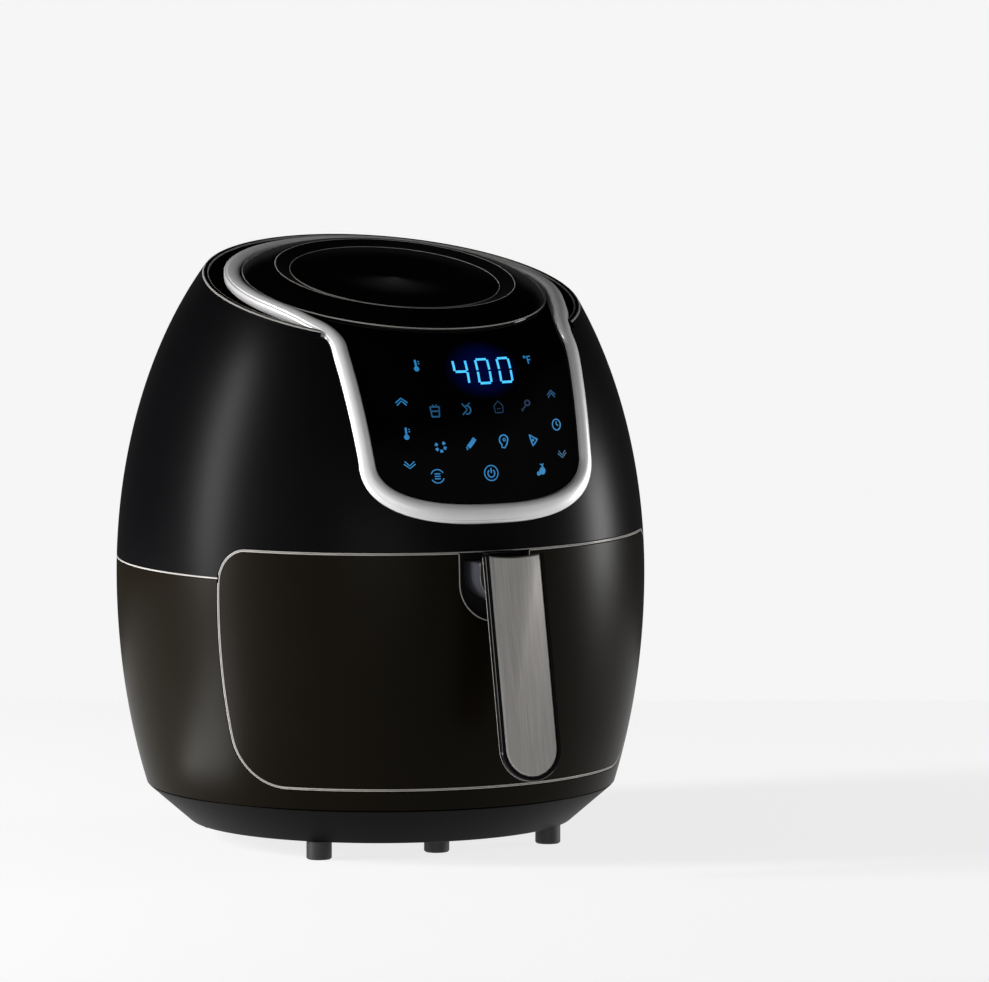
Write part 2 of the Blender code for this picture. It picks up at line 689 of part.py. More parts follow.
def make_fans():
    # Heights here are above the wheel's own level on the shaft.
    bladed_wheel("convection_fan", 48.0, 0.0, 9.6, 9.0, 10.2, -0.5, 10.2, 7)
    bladed_wheel("cooling_fan", 40.0, 66.8, 74.0, 65.8, 67.0, 65.8, 72.0, 7)
    shaft = turned([(0, 76), (SHAFT_RADIUS, 76), (SHAFT_RADIUS, -9), (0, -9)], 20)
    piece("motor_shaft", shaft, PLATED, FAN_AXIS)
    hexagon = [(7.0 * cos(pi / 3 * k), 7.0 * sin(pi / 3 * k)) for k in range(6)]
    nut = piece("fan_nut", prism(hexagon, "Z", -6.2, -0.9), PLATED, FAN_AXIS)
    hole = turned([(0, 5), (SHAFT_RADIUS + 0.3, 5), (SHAFT_RADIUS + 0.3, -10), (0, -10)], 20)
    cut(nut, hole, "bore")

    bore = SHAFT_RADIUS + 0.8
    motor = [
        (12, MOTOR_HEIGHT + 31),
        (30, MOTOR_HEIGHT + 27),
        (30, MOTOR_HEIGHT + 4),
        (20, MOTOR_HEIGHT),
        (bore, MOTOR_HEIGHT),
        (bore, MOTOR_HEIGHT + 31),
    ]
    piece("fan_motor", turned(motor, 24), PLATED, HOUSING)
    bracket = [
        (34, MOTOR_HEIGHT - 0.6),
        (34, MOTOR_HEIGHT - 12),
        (74, MOTOR_HEIGHT - 12),
        (74, MOTOR_HEIGHT - 13.5),
        (32.5, MOTOR_HEIGHT - 13.5),
        (32.5, MOTOR_HEIGHT - 2.1),
        (14, MOTOR_HEIGHT - 2.1),
        (14, MOTOR_HEIGHT - 0.6),
    ]
    frame = piece("motor_bracket", turned(bracket, 24), PLATED, HOUSING)
    cut(frame, upright_hole(7.0, 0, TERMINALS_Y[0]), "terminal_hole")

    piece("power_board", block((-42, 76, 218), (42, 77.6, 268)), BOARD, HOUSING)
    piece("power_relay", prism(rounded(10, 8, 1, 2, (20, 246)), "Y", 60, 75.7), BLACK_MATT, HOUSING)
    cutout = [(0, 213.5), (8, 213.5), (8, 207.5), (11, 207.5), (11, 206.4), (0, 206.4)]
    piece("thermal_cutout", moved(turned(cutout, 20), Matrix.Translation((86, 0, 0))), PLATED, HOUSING)

    gland = [
        (10.5, 0.0),
        (10.5, -3.0),
        (7.0, -3.0),
        (7.0, -12.0),
        (3.6, -12.0),
        (3.6, 0.0),
    ]
    place = Matrix.Translation((0, 142.2, 60)) @ Matrix.Rotation(-pi / 2, 4, "X")
    piece("cord_gland", moved(turned(gland, 24), place), BLACK_MATT, HOUSING)


# ---------------------------------------------------------------- drawer: pan, front, basket and handle


def tub(levels, centre):
    """A rounded-square vessel from (half width, half depth, corner, height) levels, outside first."""
    rings = []
    for half_x, half_y, corner, height in levels:
        outline = rounded(half_x, half_y, corner, 5, centre)
        rings.append([(x, y, height) for x, y in outline])
    return lofted(rings)


def u_outline(half_width, bottom, top):
    """Upright slot with a round lower end, as (x, z)."""
    centre = bottom + half_width
    outline = [(half_width, top)]
    for k in range(13):
        angle = pi * k / 12
        outline.append((half_width * cos(angle), centre - half_width * sin(angle)))
    outline.append((-half_width, top))
    return outline


def ring_between(outer_inset, inner_inset, low, high, count=7):
    heights = steps_between(high, low, count)
    profile = [(shell_radius(z, outer_inset), z) for z in heights]
    profile += [(shell_radius(z, inner_inset), z) for z in heights[::-1]]
    return turned(profile)


def make_drawer():
    centre = (0, -PAN_CENTRE_REACH)
    pan = tub(
        [
            (88, 85, 52, PAN_FLOOR),
            (93, 90, 56, PAN_FLOOR + 4),
            (101, 98, 64, PAN_TOP - 1.5),
            (103.5, 100.5, 66, PAN_TOP - 1.5),
            (103.5, 100.5, 66, PAN_TOP),
            (99.6, 96.6, 62.6, PAN_TOP),
            (91.6, 88.6, 54.6, PAN_FLOOR + 4.5),
            (87, 84, 51, PAN_FLOOR + 1.5),
        ],
        centre,
    )
    piece("drawer_pan", pan, NON_STICK, DRAWER)

    front = piece("drawer_front", ring_between(0.0, 7.0, FRONT_BOTTOM, FRONT_TOP), BLACK_LOWER, DRAWER)
    keep(front, prism(front_outline(FRONT_GAP), "X", -160, 160), "front_shape")
    inside = ring_between(3.0, 12.0, FRONT_BOTTOM - 2, FRONT_TOP + 2)
    hollow = piece("front_hollow", inside, BLACK_LOWER, DRAWER)
    hollow.hide_render = True
    hollow.display_type = "WIRE"
    keep(hollow, prism(front_outline(FRONT_GAP + 2.6), "X", -160, 160), "inside_edges")
    step = front.modifiers.new("hollow", "BOOLEAN")
    step.object = hollow
    cut(front, prism(u_outline(NOTCH_HALF_WIDTH, NOTCH_BOTTOM, 190), "Y", -170, -100), "handle_notch")

    recess = ring_between(0.5, CUP_DEPTH + 2.0, NOTCH_BOTTOM - 2, FRONT_TOP - FRONT_GAP, 5)
    cup = piece("handle_recess", recess, BLACK_MATT, DRAWER)
    wide, slim = NOTCH_HALF_WIDTH - 0.4, NOTCH_HALF_WIDTH - 2.2
    keep(cup, prism(u_outline(wide, NOTCH_BOTTOM + 0.4, FRONT_TOP - FRONT_GAP), "Y", -170, -100), "cup_shape")
    inside = ring_between(-8.0, CUP_DEPTH, NOTCH_BOTTOM - 4, FRONT_TOP + 4, 5)
    floor = piece("recess_hollow", inside, BLACK_MATT, DRAWER)
    floor.hide_render = True
    floor.display_type = "WIRE"
    keep(floor, prism(u_outline(slim, NOTCH_BOTTOM + 2.2, 190), "Y", -170, -100), "inside_cup")
    step = cup.modifiers.new("hollow", "BOOLEAN")
    step.object = floor
    arm_clear = u_outline(ARM_HALF_WIDTH + 0.4, ARM_BOTTOM - 0.4, 190)
    cut(cup, prism(arm_clear, "Y", -170, -100), "arm_opening")

    backing = turned([(125.0, 148.0), (125.0, 45.0), (122.4, 45.0), (122.4, 148.0)], SIDES)
    plate = piece("front_backing", backing, BLACK_MATT, DRAWER)
    keep(plate, block((-160, -160, 0), (160, -70, 200)), "front_part")
    return centre


def make_basket(centre):
    basket_shape = tub(
        [
            (81, 79, 47, BASKET_FLOOR),
            (86, 84, 51, BASKET_FLOOR + 4),
            (94, 91, 58, BASKET_TOP - 1.2),
            (97.5, 94.5, 61, BASKET_TOP - 1.2),
            (97.5, 94.5, 61, BASKET_TOP),
            (92.8, 89.8, 56.8, BASKET_TOP),
            (84.8, 82.8, 49.8, BASKET_FLOOR + 4.4),
            (80, 78, 46, BASKET_FLOOR + 1.2),
        ],
        centre,
    )
    basket = piece("basket", basket_shape, NON_STICK, DRAWER)
    for ring, count in ((20.0, 6), (46.0, 12)):
        for k in range(count):
            angle = 2 * pi * k / count
            x, y = centre[0] + ring * sin(angle), centre[1] - ring * cos(angle)
            hole = turned([(0, 60), (5.0, 60), (5.0, 50), (0, 50)], 8)
            cut(basket, moved(hole, Matrix.Translation((x, y, 0))), f"hole_{ring:.0f}_{k}")
    for side in (-1, 1):
        for k in range(5):
            y = centre[1] - 40 + 20 * k
            slot = rounded(3.2, 16.0, 3.2, 2, (y, 108))
            cut(basket, prism(slot, "X", side * 75, side * 110), f"side_slot_{side}_{k}")
    bracket = block((-13, centre[1] - 97.4, 150.9), (13, centre[1] - 82.0, 155.0))
    piece("basket_bracket", bracket, PLATED, DRAWER)


def handle_matrix():
    """Frame of the handle: X across, -Z down along the grip, -Y out of its front face."""
    top = Matrix.Translation((0, -HANDLE_TOP_REACH, HANDLE_TOP_HEIGHT))
    return top @ Matrix.Rotation(-HANDLE_LEAN, 4, "X")


def grip_outline(inset, top_inset):
    """Front view of the grip, as (x, z) below its top: a dipped top edge and a half-round foot."""
    half = HANDLE_HALF_WIDTH - inset
    centre = -(HANDLE_LENGTH - HANDLE_HALF_WIDTH)
    outline = []
    for angle in steps_between(0, pi, 16):
        outline.append((half * cos(angle), centre - half * sin(angle)))
    for across in steps_between(-1, 1, 8):
        outline.append((half * across, -top_inset - HANDLE_TOP_SAG * (1 - across * across)))
    return outline


def make_handle():
    arm = prism(u_outline(ARM_HALF_WIDTH, ARM_BOTTOM, ARM_TOP), "Y", -156.5, -127.0)
    handle_arm = piece("handle_arm", arm, BLACK_MATT, DRAWER)
    add(handle_arm, block((-12, -130, 155.4), (12, -90, ARM_TOP)), "tongue")

    # The grip is straight-sided near its face and tapers behind, so that fingers close round it.
    levels = ((0, 0), (0, HANDLE_EDGE_DEPTH), (HANDLE_BACK_INSET, HANDLE_DEPTH))
    rings = [[(x, depth, z) for x, z in grip_outline(inset, 0)] for inset, depth in levels]
    grip = piece("handle_grip", moved(lofted(rings), handle_matrix()), BLACK_GLOSS, DRAWER)
    seat = prism(grip_outline(PLATE_INSET - 0.3, -4.0), "Y", -5, PLATE_DEPTH + 0.3)
    cut(grip, moved(seat, handle_matrix()), "plate_seat")
    cut(grip, block((-30, -156.9, ARM_BOTTOM - 2), (30, -140, 200)), "arm_face")
    cut(grip, block((-30, -166.0, ARM_TOP), (30, -140, 200)), "top_step")

    plate = prism(grip_outline(PLATE_INSET, 0.3), "Y", 0.1, PLATE_DEPTH)
    piece("handle_plate", moved(plate, handle_matrix()), STEEL, DRAWER)

    # The release button stands in a pocket on top of the arm, over its spring, under a sliding guard.
    middle = -150.8
    pocket = rounded(6.4, 5.0, 1.6, 3, (0, middle))
    cut(handle_arm, prism(pocket, "Z", 158.6, 190), "button_pocket")
    button_axis = anchor("button_axis", (0, middle, 162.6), DRAWER)
    button = prism(rounded(6.0, 4.6, 1.4, 3), "Z", 0, 6.9)
    piece("release_button", button, BLACK_GLOSS, button_axis)

    spring = bpy.data.curves.new("button_spring", "CURVE")
    spring.dimensions = "3D"
    spring.bevel_depth = 0.35 * MM
    spring.bevel_resolution = 0
    spring.use_fill_caps = True
    wire = spring.splines.new("POLY")
    count = 24
    wire.points.add(count)
    for k in range(count + 1):
        angle = 2 * pi * 3 * k / count
        place = (2.6 * sin(angle), middle - 2.6 * cos(angle), 159.3 + 2.5 * k / count)
        wire.points[k].co = (*(value * MM for value in place), 1)
    spring.materials.append(PLATED)
    coil = bpy.data.objects.new("button_spring", spring)
    bpy.context.scene.collection.objects.link(coil)
    coil.parent = DRAWER

    guard_axis = anchor("guard_axis", (0, middle, 170.6), DRAWER)
    guard = [(9.4, 1.6), (-9.4, 1.6), (-9.4, -3.2), (-8.0, -3.2)]
    guard += [(-8.0, -0.6), (8.0, -0.6), (8.0, -3.2), (9.4, -3.2)]
    piece("button_guard", prism(guard, "Y", -4.6, 4.6), CLEAR, guard_axis)


make_shells()
make_base()
make_lid()
make_panel()
make_chamber()
make_fans()
make_basket(make_drawer())
make_handle()
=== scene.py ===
"""The air fryer's looks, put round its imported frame. Shapes are worked out in millimetres from the body's
axis."""

from math import atan2, cos, pi, radians, sin, sqrt, tan

import bmesh
import bpy
from mathutils import Matrix, Vector


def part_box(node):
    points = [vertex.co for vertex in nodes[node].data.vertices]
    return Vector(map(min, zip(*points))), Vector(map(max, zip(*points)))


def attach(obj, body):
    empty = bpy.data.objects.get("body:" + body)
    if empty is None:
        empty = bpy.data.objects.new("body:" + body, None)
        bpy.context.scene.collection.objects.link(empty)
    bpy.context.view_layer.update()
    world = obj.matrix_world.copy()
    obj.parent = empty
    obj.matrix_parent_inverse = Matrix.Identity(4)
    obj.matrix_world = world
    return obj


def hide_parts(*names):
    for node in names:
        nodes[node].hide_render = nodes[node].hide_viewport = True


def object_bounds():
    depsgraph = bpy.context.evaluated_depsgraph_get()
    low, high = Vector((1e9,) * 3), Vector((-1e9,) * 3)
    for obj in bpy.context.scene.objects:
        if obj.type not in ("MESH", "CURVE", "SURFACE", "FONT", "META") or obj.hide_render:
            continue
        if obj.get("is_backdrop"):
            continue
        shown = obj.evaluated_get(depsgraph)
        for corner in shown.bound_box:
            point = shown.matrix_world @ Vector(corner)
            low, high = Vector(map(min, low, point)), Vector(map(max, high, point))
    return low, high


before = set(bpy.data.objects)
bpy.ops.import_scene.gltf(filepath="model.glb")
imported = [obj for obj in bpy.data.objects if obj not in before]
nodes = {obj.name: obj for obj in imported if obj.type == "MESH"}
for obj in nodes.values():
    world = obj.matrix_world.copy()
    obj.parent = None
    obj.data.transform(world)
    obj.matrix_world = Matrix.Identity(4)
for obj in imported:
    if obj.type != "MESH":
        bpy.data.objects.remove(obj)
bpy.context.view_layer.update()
MM = 0.001

# ---- Housing shells -------------------------------------------------------------------------------
# Two turned shells of injection-moulded ABS, the lower one clipped inside the upper at the parting line.
# Their outer faces are spark-eroded to a fine satin, and every cut edge is rounded by the mould.

base_low, base_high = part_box("base_pan")
AXIS_Y = (base_low.y + base_high.y) / 2 / MM
lower_low, lower_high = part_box("lower_shell")
BODY_RADIUS = (lower_high.x - lower_low.x) / 2 / MM
WIDEST_HEIGHT = 146.0
UPPER_SEMI_HEIGHT = 226.0
LOWER_SEMI_HEIGHT = 249.0
WALL = 2.6
PARTING_HEIGHT = 155.6
HALF_SEAM = 0.45
SKIRT_HEIGHT = 31.0
LID_LEAN = radians(12.5)
LID_REACH = 17.6
LID_HEIGHT = 305.5
RIM_DROP = 2.8
SKIN_ROUNDING = 18.0
EDGE_ROUND = 0.45
ROUND_SIDES = 180
ON_AXIS = 1e-6
EDGE_STEP = 6.0

# Each corner is a quarter ellipse, given as its reach and its height.
FRONT_EDGE_REACH = 66.8
FRONT_TOP = 172.2
FRONT_BOTTOM = 42.1
FRONT_TOP_CORNER = (15.0, 19.0)
FRONT_BOTTOM_CORNER = (22.0, 27.0)
FRONT_GAP = 1.3
FRONT_CORNER_STEPS = 14
FRONT_RUN_OUT = 120.0


def steps_between(low, high, count):
    return [low + (high - low) * k / count for k in range(count + 1)]


def shell_radius(height, inset=0.0):
    """Radius of the turned body: two half ellipses that meet at its widest height."""
    semi = UPPER_SEMI_HEIGHT if height > WIDEST_HEIGHT else LOWER_SEMI_HEIGHT
    return BODY_RADIUS * sqrt(1 - ((height - WIDEST_HEIGHT) / semi) ** 2) - inset


def turned(profile, sides=ROUND_SIDES, sweep=None):
    """A closed (radius, height) profile spun about Z. A sweep in degrees from the front leaves flat ends."""
    if sweep:
        angles = [radians(a) for a in steps_between(sweep[0], sweep[1], sides)]
    else:
        angles = [2 * pi * k / sides for k in range(sides)]
    points, rings, on_axis = [], [], {}
    for angle in angles:
        ring = []
        for radius, height in profile:
            if radius < ON_AXIS and height in on_axis:
                ring.append(on_axis[height])
                continue
            if radius < ON_AXIS:
                on_axis[height] = len(points)
            ring.append(len(points))
            points.append((radius * sin(angle), -radius * cos(angle), height))
        rings.append(ring)
    faces = []
    for k in range(len(rings) - 1 if sweep else len(rings)):
        this, after = rings[k], rings[(k + 1) % len(rings)]
        for j in range(len(profile)):
            i = (j + 1) % len(profile)
            corners = (this[j], this[i], after[i], after[j])
            face = list(dict.fromkeys(corners))
            if len(face) > 2:
                faces.append(face)
    if sweep:
        faces += [rings[0], rings[-1]]
    return points, faces


def lofted(rings, closed=False, open_section=False):
    """Rings of equally many points joined in turn. An open section gives a ribbon, not a tube."""
    count = len(rings[0])
    points = [tuple(point) for ring in rings for point in ring]
    faces = []
    for k in range(len(rings) if closed else len(rings) - 1):
        this, after = k * count, (k + 1) % len(rings) * count
        for j in range(count - 1 if open_section else count):
            i = (j + 1) % count
            faces.append([this + j, this + i, after + i, after + j])
    if not closed and not open_section:
        faces += [list(range(count)), list(range(len(points) - count, len(points)))]
    return points, faces


def prism(outline, axis, low, high):
    """A flat outline carried along an axis. It is in (y, z) for X, (x, z) for Y and (x, y) for Z."""
    rings = []
    for along in (low, high):
        placed = {
            "X": [(along, a, b) for a, b in outline],
            "Y": [(a, along, b) for a, b in outline],
            "Z": [(a, b, along) for a, b in outline],
        }
        rings.append(placed[axis])
    return lofted(rings)


def block(low, high):
    outline = [(low[0], low[1]), (high[0], low[1]), (high[0], high[1]), (low[0], high[1])]
    return prism(outline, "Z", low[2], high[2])


def moved(shape, matrix):
    points, faces = shape
    return [tuple(matrix @ Vector(point)) for point in points], faces


def joined(*shapes):
    points, faces = [], []
    for more_points, more_faces in shapes:
        start = len(points)
        points += more_points
        faces += [[start + k for k in face] for face in more_faces]
    return points, faces


def rounded_prism(outline, axis, low, high, radius, segments=3):
    """A prism whose edges round both flat faces are softened."""
    work = bmesh.new()
    points, faces = prism(outline, axis, low, high)
    corners = [work.verts.new(point) for point in points]
    for face in faces:
        work.faces.new([corners[k] for k in face])
    work.normal_update()
    along = "XYZ".index(axis)
    rim = [e for e in work.edges if abs(e.verts[0].co[along] - e.verts[1].co[along]) < 1e-6]
    bmesh.ops.bevel(work, geom=rim, offset=radius, segments=segments, profile=0.5, affect="EDGES")
    work.verts.index_update()
    shape = [tuple(v.co) for v in work.verts], [[v.index for v in f.verts] for f in work.faces]
    work.free()
    return shape


def mesh_of(name, shape, smooth_angle=35):
    """A mesh in metres in the frame's own place, with its faces turned outwards."""
    points, faces = shape
    mesh = bpy.data.meshes.new(name)
    mesh.from_pydata([(x * MM, (y + AXIS_Y) * MM, z * MM) for x, y, z in points], [], faces)
    work = bmesh.new()
    work.from_mesh(mesh)
    bmesh.ops.recalc_face_normals(work, faces=work.faces)
    work.to_mesh(mesh)
    work.free()
    mesh.shade_smooth()
    mesh.set_sharp_from_angle(angle=radians(smooth_angle))
    return mesh


def carved(name, shape, steps):
    """The shape after Booleans, as (points, faces) in millimetres again."""
    target = bpy.data.objects.new(name, mesh_of(name, shape))
    bpy.context.scene.collection.objects.link(target)
    tools = []
    for operation, tool_shape in steps:
        tool = bpy.data.objects.new(name, mesh_of(name, tool_shape))
        bpy.context.scene.collection.objects.link(tool)
        change = target.modifiers.new(operation, "BOOLEAN")
        change.operation = operation
        change.object = tool
        tools.append(tool)
    graph = bpy.context.evaluated_depsgraph_get()
    done = bpy.data.meshes.new_from_object(target.evaluated_get(graph))
    points = [(v.co.x / MM, v.co.y / MM - AXIS_Y, v.co.z / MM) for v in done.vertices]
    faces = [list(p.vertices) for p in done.polygons]
    bpy.data.meshes.remove(done)
    for old in [target] + tools:
        data = old.data
        bpy.data.objects.remove(old)
        bpy.data.meshes.remove(data)
    return points, faces


SAME_FACING = 0.8


def piece(name, shape, finish, body, stands_for=(), smooth_angle=35, normal_at=None):
    """One visible piece. normal_at gives the true normal of a curved face, or None off that face."""
    mesh = mesh_of(name, shape, smooth_angle)
    made = bpy.data.objects.new(name, mesh)
    bpy.context.scene.collection.objects.link(made)
    mesh.materials.append(finish)
    if normal_at:
        normals = [tuple(corner.vector) for corner in mesh.corner_normals]
        for face in mesh.polygons:
            for corner, vertex in zip(face.loop_indices, face.vertices):
                place = mesh.vertices[vertex].co / MM - Vector((0, AXIS_Y, 0))
                true = normal_at(place)
                if true is not None and true.dot(face.normal) > SAME_FACING:
                    normals[corner] = tuple(true)
        mesh.normals_split_custom_set(normals)
    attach(made, body)
    if stands_for:
        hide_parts(*stands_for)
    return made


def lid_matrix():
    """Frame of the lid: its own Z is square to the leaning top, and its -Y points down to the front."""
    return Matrix.Translation((0, -LID_REACH, LID_HEIGHT)) @ Matrix.Rotation(LID_LEAN, 4, "X")


def skin_height(point):
    """Distance outside the skin, which is the lid plane and the turned wall with a rounded edge between."""
    x, y, z = point
    over_lid = (z - LID_HEIGHT) * cos(LID_LEAN) - (y + LID_REACH) * sin(LID_LEAN)
    over_wall = sqrt(x * x + y * y) - shell_radius(z)
    near = max(SKIN_ROUNDING - abs(over_lid - over_wall), 0.0)
    return max(over_lid, over_wall) + near * near / (4 * SKIN_ROUNDING)


SLOPE_STEP = 0.05
SETTLING_STEPS = 8


def skin_normal(point):
    slope = []
    for axis in range(3):
        ahead, behind = list(point), list(point)
        ahead[axis] += SLOPE_STEP
        behind[axis] -= SLOPE_STEP
        slope.append((skin_height(ahead) - skin_height(behind)) / (2 * SLOPE_STEP))
    return Vector(slope).normalized()


def on_skin(point, offset=0.0):
    point = Vector(point)
    for _ in range(SETTLING_STEPS):
        point -= skin_normal(point) * (skin_height(point) - offset)
    return point


def wall_normal(point):
    """Outward normal of the turned wall at a point, from the ellipse's slope."""
    x, y, z = point
    semi = UPPER_SEMI_HEIGHT if z > WIDEST_HEIGHT else LOWER_SEMI_HEIGHT
    return Vector((x / BODY_RADIUS**2, y / BODY_RADIUS**2, (z - WIDEST_HEIGHT) / semi**2)).normalized()


WALL_FOOT = 20.0
WALL_HEAD = 335.0
WALL_TOLERANCE = 0.05


def wall_normal_if_outside(point):
    """The turned wall's normal, or None for a point that doesn't lie on it."""
    x, y, z = point
    if not WALL_FOOT < z < WALL_HEAD:
        return None
    if abs(sqrt(x * x + y * y) - shell_radius(z)) > WALL_TOLERANCE:
        return None
    return wall_normal(point)


def front_outline(gap):
    """Side view of the drawer front as (y, z): flat back edge with round corners, running out past the
    body."""
    back = -FRONT_EDGE_REACH - gap
    top, bottom = FRONT_TOP - gap, FRONT_BOTTOM + gap
    outline = [(back - FRONT_RUN_OUT, bottom)]
    reach, rise = (size - gap for size in FRONT_BOTTOM_CORNER)
    for angle in steps_between(0, pi / 2, FRONT_CORNER_STEPS):
        outline.append((back - reach + reach * sin(angle), bottom + rise - rise * cos(angle)))
    reach, rise = (size - gap for size in FRONT_TOP_CORNER)
    for angle in steps_between(0, pi / 2, FRONT_CORNER_STEPS):
        outline.append((back - reach + reach * cos(angle), top - rise + rise * sin(angle)))
    outline.append((back - FRONT_RUN_OUT, top))
    return outline


def front_edge_side(gap):
    """The drawer outline's right-hand side on the wall, from its bottom edge up to its top edge."""
    outline = front_outline(gap)[1:-1]
    path = []
    for (y, z), (next_y, next_z) in zip(outline, outline[1:] + outline[-1:]):
        parts = max(int(abs(next_z - z) / EDGE_STEP), 1)
        for k in range(parts):
            height = z + (next_z - z) * k / parts
            depth = y + (next_y - y) * k / parts
            path.append(Vector((sqrt(shell_radius(height) ** 2 - depth * depth), depth, height)))
    return path


def along_wall(start, end, count):
    """Points round the wall at one height, from one point's angle to another's, ends left out."""
    first, last = atan2(start.x, -start.y), atan2(end.x, -end.y)
    path = []
    for angle in steps_between(first, last, count)[1:-1]:
        radius = shell_radius(start.z)
        path.append(Vector((radius * sin(angle), -radius * cos(angle), start.z)))
    return path


def mirrored(path):
    return [Vector((-p.x, p.y, p.z)) for p in path]


def along_edge(path, section, towards, closed=False):
    """A ribbon along a cut edge. Its section is (into the material, out of the wall) pairs.

    Towards is +1 or -1, the side of the path's own direction that the material lies on."""
    rings = []
    for k, point in enumerate(path):
        ahead = path[(k + 1) % len(path)] if closed or k + 1 < len(path) else point
        behind = path[k - 1] if closed or k else point
        outward = wall_normal(point)
        across = outward.cross((ahead - behind).normalized()).normalized() * towards
        rings.append([point + across * a + outward * b for a, b in section])
    return lofted(rings, closed=closed, open_section=True)


def edge_line(path, towards, closed=False):
    """The rounded corner of a cut edge: the strip that carries the painted edge highlight."""
    r = EDGE_ROUND
    section = [(r + 0.1, -0.01), (0.5 * r, 0.0), (0.2 * r, -0.12 * r), (0.0, -0.4 * r), (0.0, -r)]
    return along_edge(path, section, towards, closed)


def gap_wall(path, towards, depth, lip=0.0, closed=False):
    """The side of a gap below its rounded corner. A lip runs on under the neighbouring piece."""
    section = [(0.0, -EDGE_ROUND), (0.0, -depth)]
    if lip:
        section.append((-lip, -depth))
    return along_edge(path, section, towards, closed)


def srgb(code):
    """A hex colour turned to the linear values that the shader takes."""
    linear = []
    for k in (1, 3, 5):
        value = int(code[k : k + 2], 16) / 255
        linear.append(value / 12.92 if value <= 0.04045 else ((value + 0.055) / 1.055) ** 2.4)
    return (*linear, 1.0)


def add_node(tree, kind, inputs=None, **settings):
    """Adds a node, sets its properties, and sets or links its inputs."""
    made = tree.nodes.new(kind)
    for key, value in settings.items():
        setattr(made, key, value)
    for key, value in (inputs or {}).items():
        if isinstance(value, bpy.types.NodeSocket):
            tree.links.new(value, made.inputs[key])
        else:
            made.inputs[key].default_value = value
    return made


def new_material(name, **values):
    """A material with a Principled shader and its evenly valued sockets set."""
    made = bpy.data.materials.new(name)
    made.use_nodes = True
    shader = made.node_tree.nodes["Principled BSDF"]
    for key, value in values.items():
        shader.inputs[key.replace("_", " ")].default_value = value
    return made, made.node_tree, shader


PLASTIC_IOR = 1.5


def moulded_abs(name, colour, shade, roughness, grain_mm, grain_depth_mm):
    """ABS from a spark-eroded mould: a fine pebble grain, drawn coarse enough to show, and a faint
    drift of gloss where the melt cooled at different rates."""
    made, tree, shader = new_material(name, IOR=PLASTIC_IOR, Specular_IOR_Level=0.035)
    place = add_node(tree, "ShaderNodeTexCoord")
    drift = add_node(
        tree, "ShaderNodeTexNoise", {"Vector": place.outputs["Object"], "Scale": 14.0, "Detail": 3.0}
    )
    tint = add_node(
        tree, "ShaderNodeMix", {"Factor": drift.outputs["Fac"], "A": srgb(colour), "B": srgb(shade)},
        data_type="RGBA"
    )
    gloss = add_node(
        tree,
        "ShaderNodeMapRange",
        {"Value": drift.outputs["Fac"], "To Min": roughness - 0.03, "To Max": roughness + 0.04},
    )
    grain = add_node(
        tree,
        "ShaderNodeTexNoise",
        {"Vector": place.outputs["Object"], "Scale": 1 / (grain_mm * MM), "Detail": 2.0},
    )
    bump = add_node(
        tree, "ShaderNodeBump", {
            "Height": grain.outputs["Fac"], "Distance": grain_depth_mm * MM, "Strength": 0.35
        }
    )
    tree.links.new(tint.outputs["Result"], shader.inputs["Base Color"])
    tree.links.new(gloss.outputs["Result"], shader.inputs["Roughness"])
    tree.links.new(bump.outputs["Normal"], shader.inputs["Normal"])
    return made


SATIN_UPPER = moulded_abs("abs_satin_cool_black", "#040405", "#060607", 0.30, 0.6, 0.01)
# The lower shell and drawer front are black satin ABS, and their warm brown tint is a painted reflection.
SATIN_LOWER_WARM_REFLECTION = moulded_abs("abs_satin_black_painted_warm_reflection", "#0C0904", "#100C06", 0.32, 0.6, 0.01)

opening = prism(front_outline(-EDGE_ROUND), "X", -200, 200)
opening_side = front_edge_side(0.0)
opening_loop = opening_side + along_wall(opening_side[-1], mirrored(opening_side)[-1], 90)
opening_loop += mirrored(opening_side)[::-1]
opening_loop += along_wall(mirrored(opening_side)[0], opening_side[0], 90)

# The notch for the handle's arm is a slot with a round foot, open at the drawer front's top edge.
NOTCH_HALF_WIDTH = 21.2
NOTCH_BOTTOM = 133.8


def u_outline(half_width, bottom, top, count=28):
    """Upright slot with a round lower end, as (x, z)."""
    centre = bottom + half_width
    outline = [(half_width, top)]
    for angle in steps_between(0, pi, count):
        outline.append((half_width * cos(angle), centre - half_width * sin(angle)))
    outline.append((-half_width, top))
    return outline


TRIM_RADIUS = 89.05
TRIM_HALF_WIDTH = 4.2
TRIM_FOOT_HALF_WIDTH = 5.2
PANEL_HALF_WIDTH = 65.2
PANEL_CORNER_HEIGHT = 222.0
PANEL_BOTTOM = 191.8
PANEL_SQUARENESS = 2.7


def panel_half_width(height):
    """Half the distance across the trim's middle line at a height on the front wall."""
    if height >= PANEL_CORNER_HEIGHT:
        return PANEL_HALF_WIDTH + 0.068 * (height - PANEL_CORNER_HEIGHT)
    part = (PANEL_CORNER_HEIGHT - height) / (PANEL_CORNER_HEIGHT - PANEL_BOTTOM)
    return PANEL_HALF_WIDTH * max(1 - part**PANEL_SQUARENESS, 0.0) ** (1 / PANEL_SQUARENESS)


def trim_corner(count):
    """Middle line of the trim round one lower corner of the panel, as (x, height)."""
    for angle in steps_between(0, pi / 2, count):
        power = 2 / PANEL_SQUARENESS
        drop = (PANEL_CORNER_HEIGHT - PANEL_BOTTOM) * sin(angle) ** power
        yield PANEL_HALF_WIDTH * max(cos(angle), 0.0) ** power, PANEL_CORNER_HEIGHT - drop


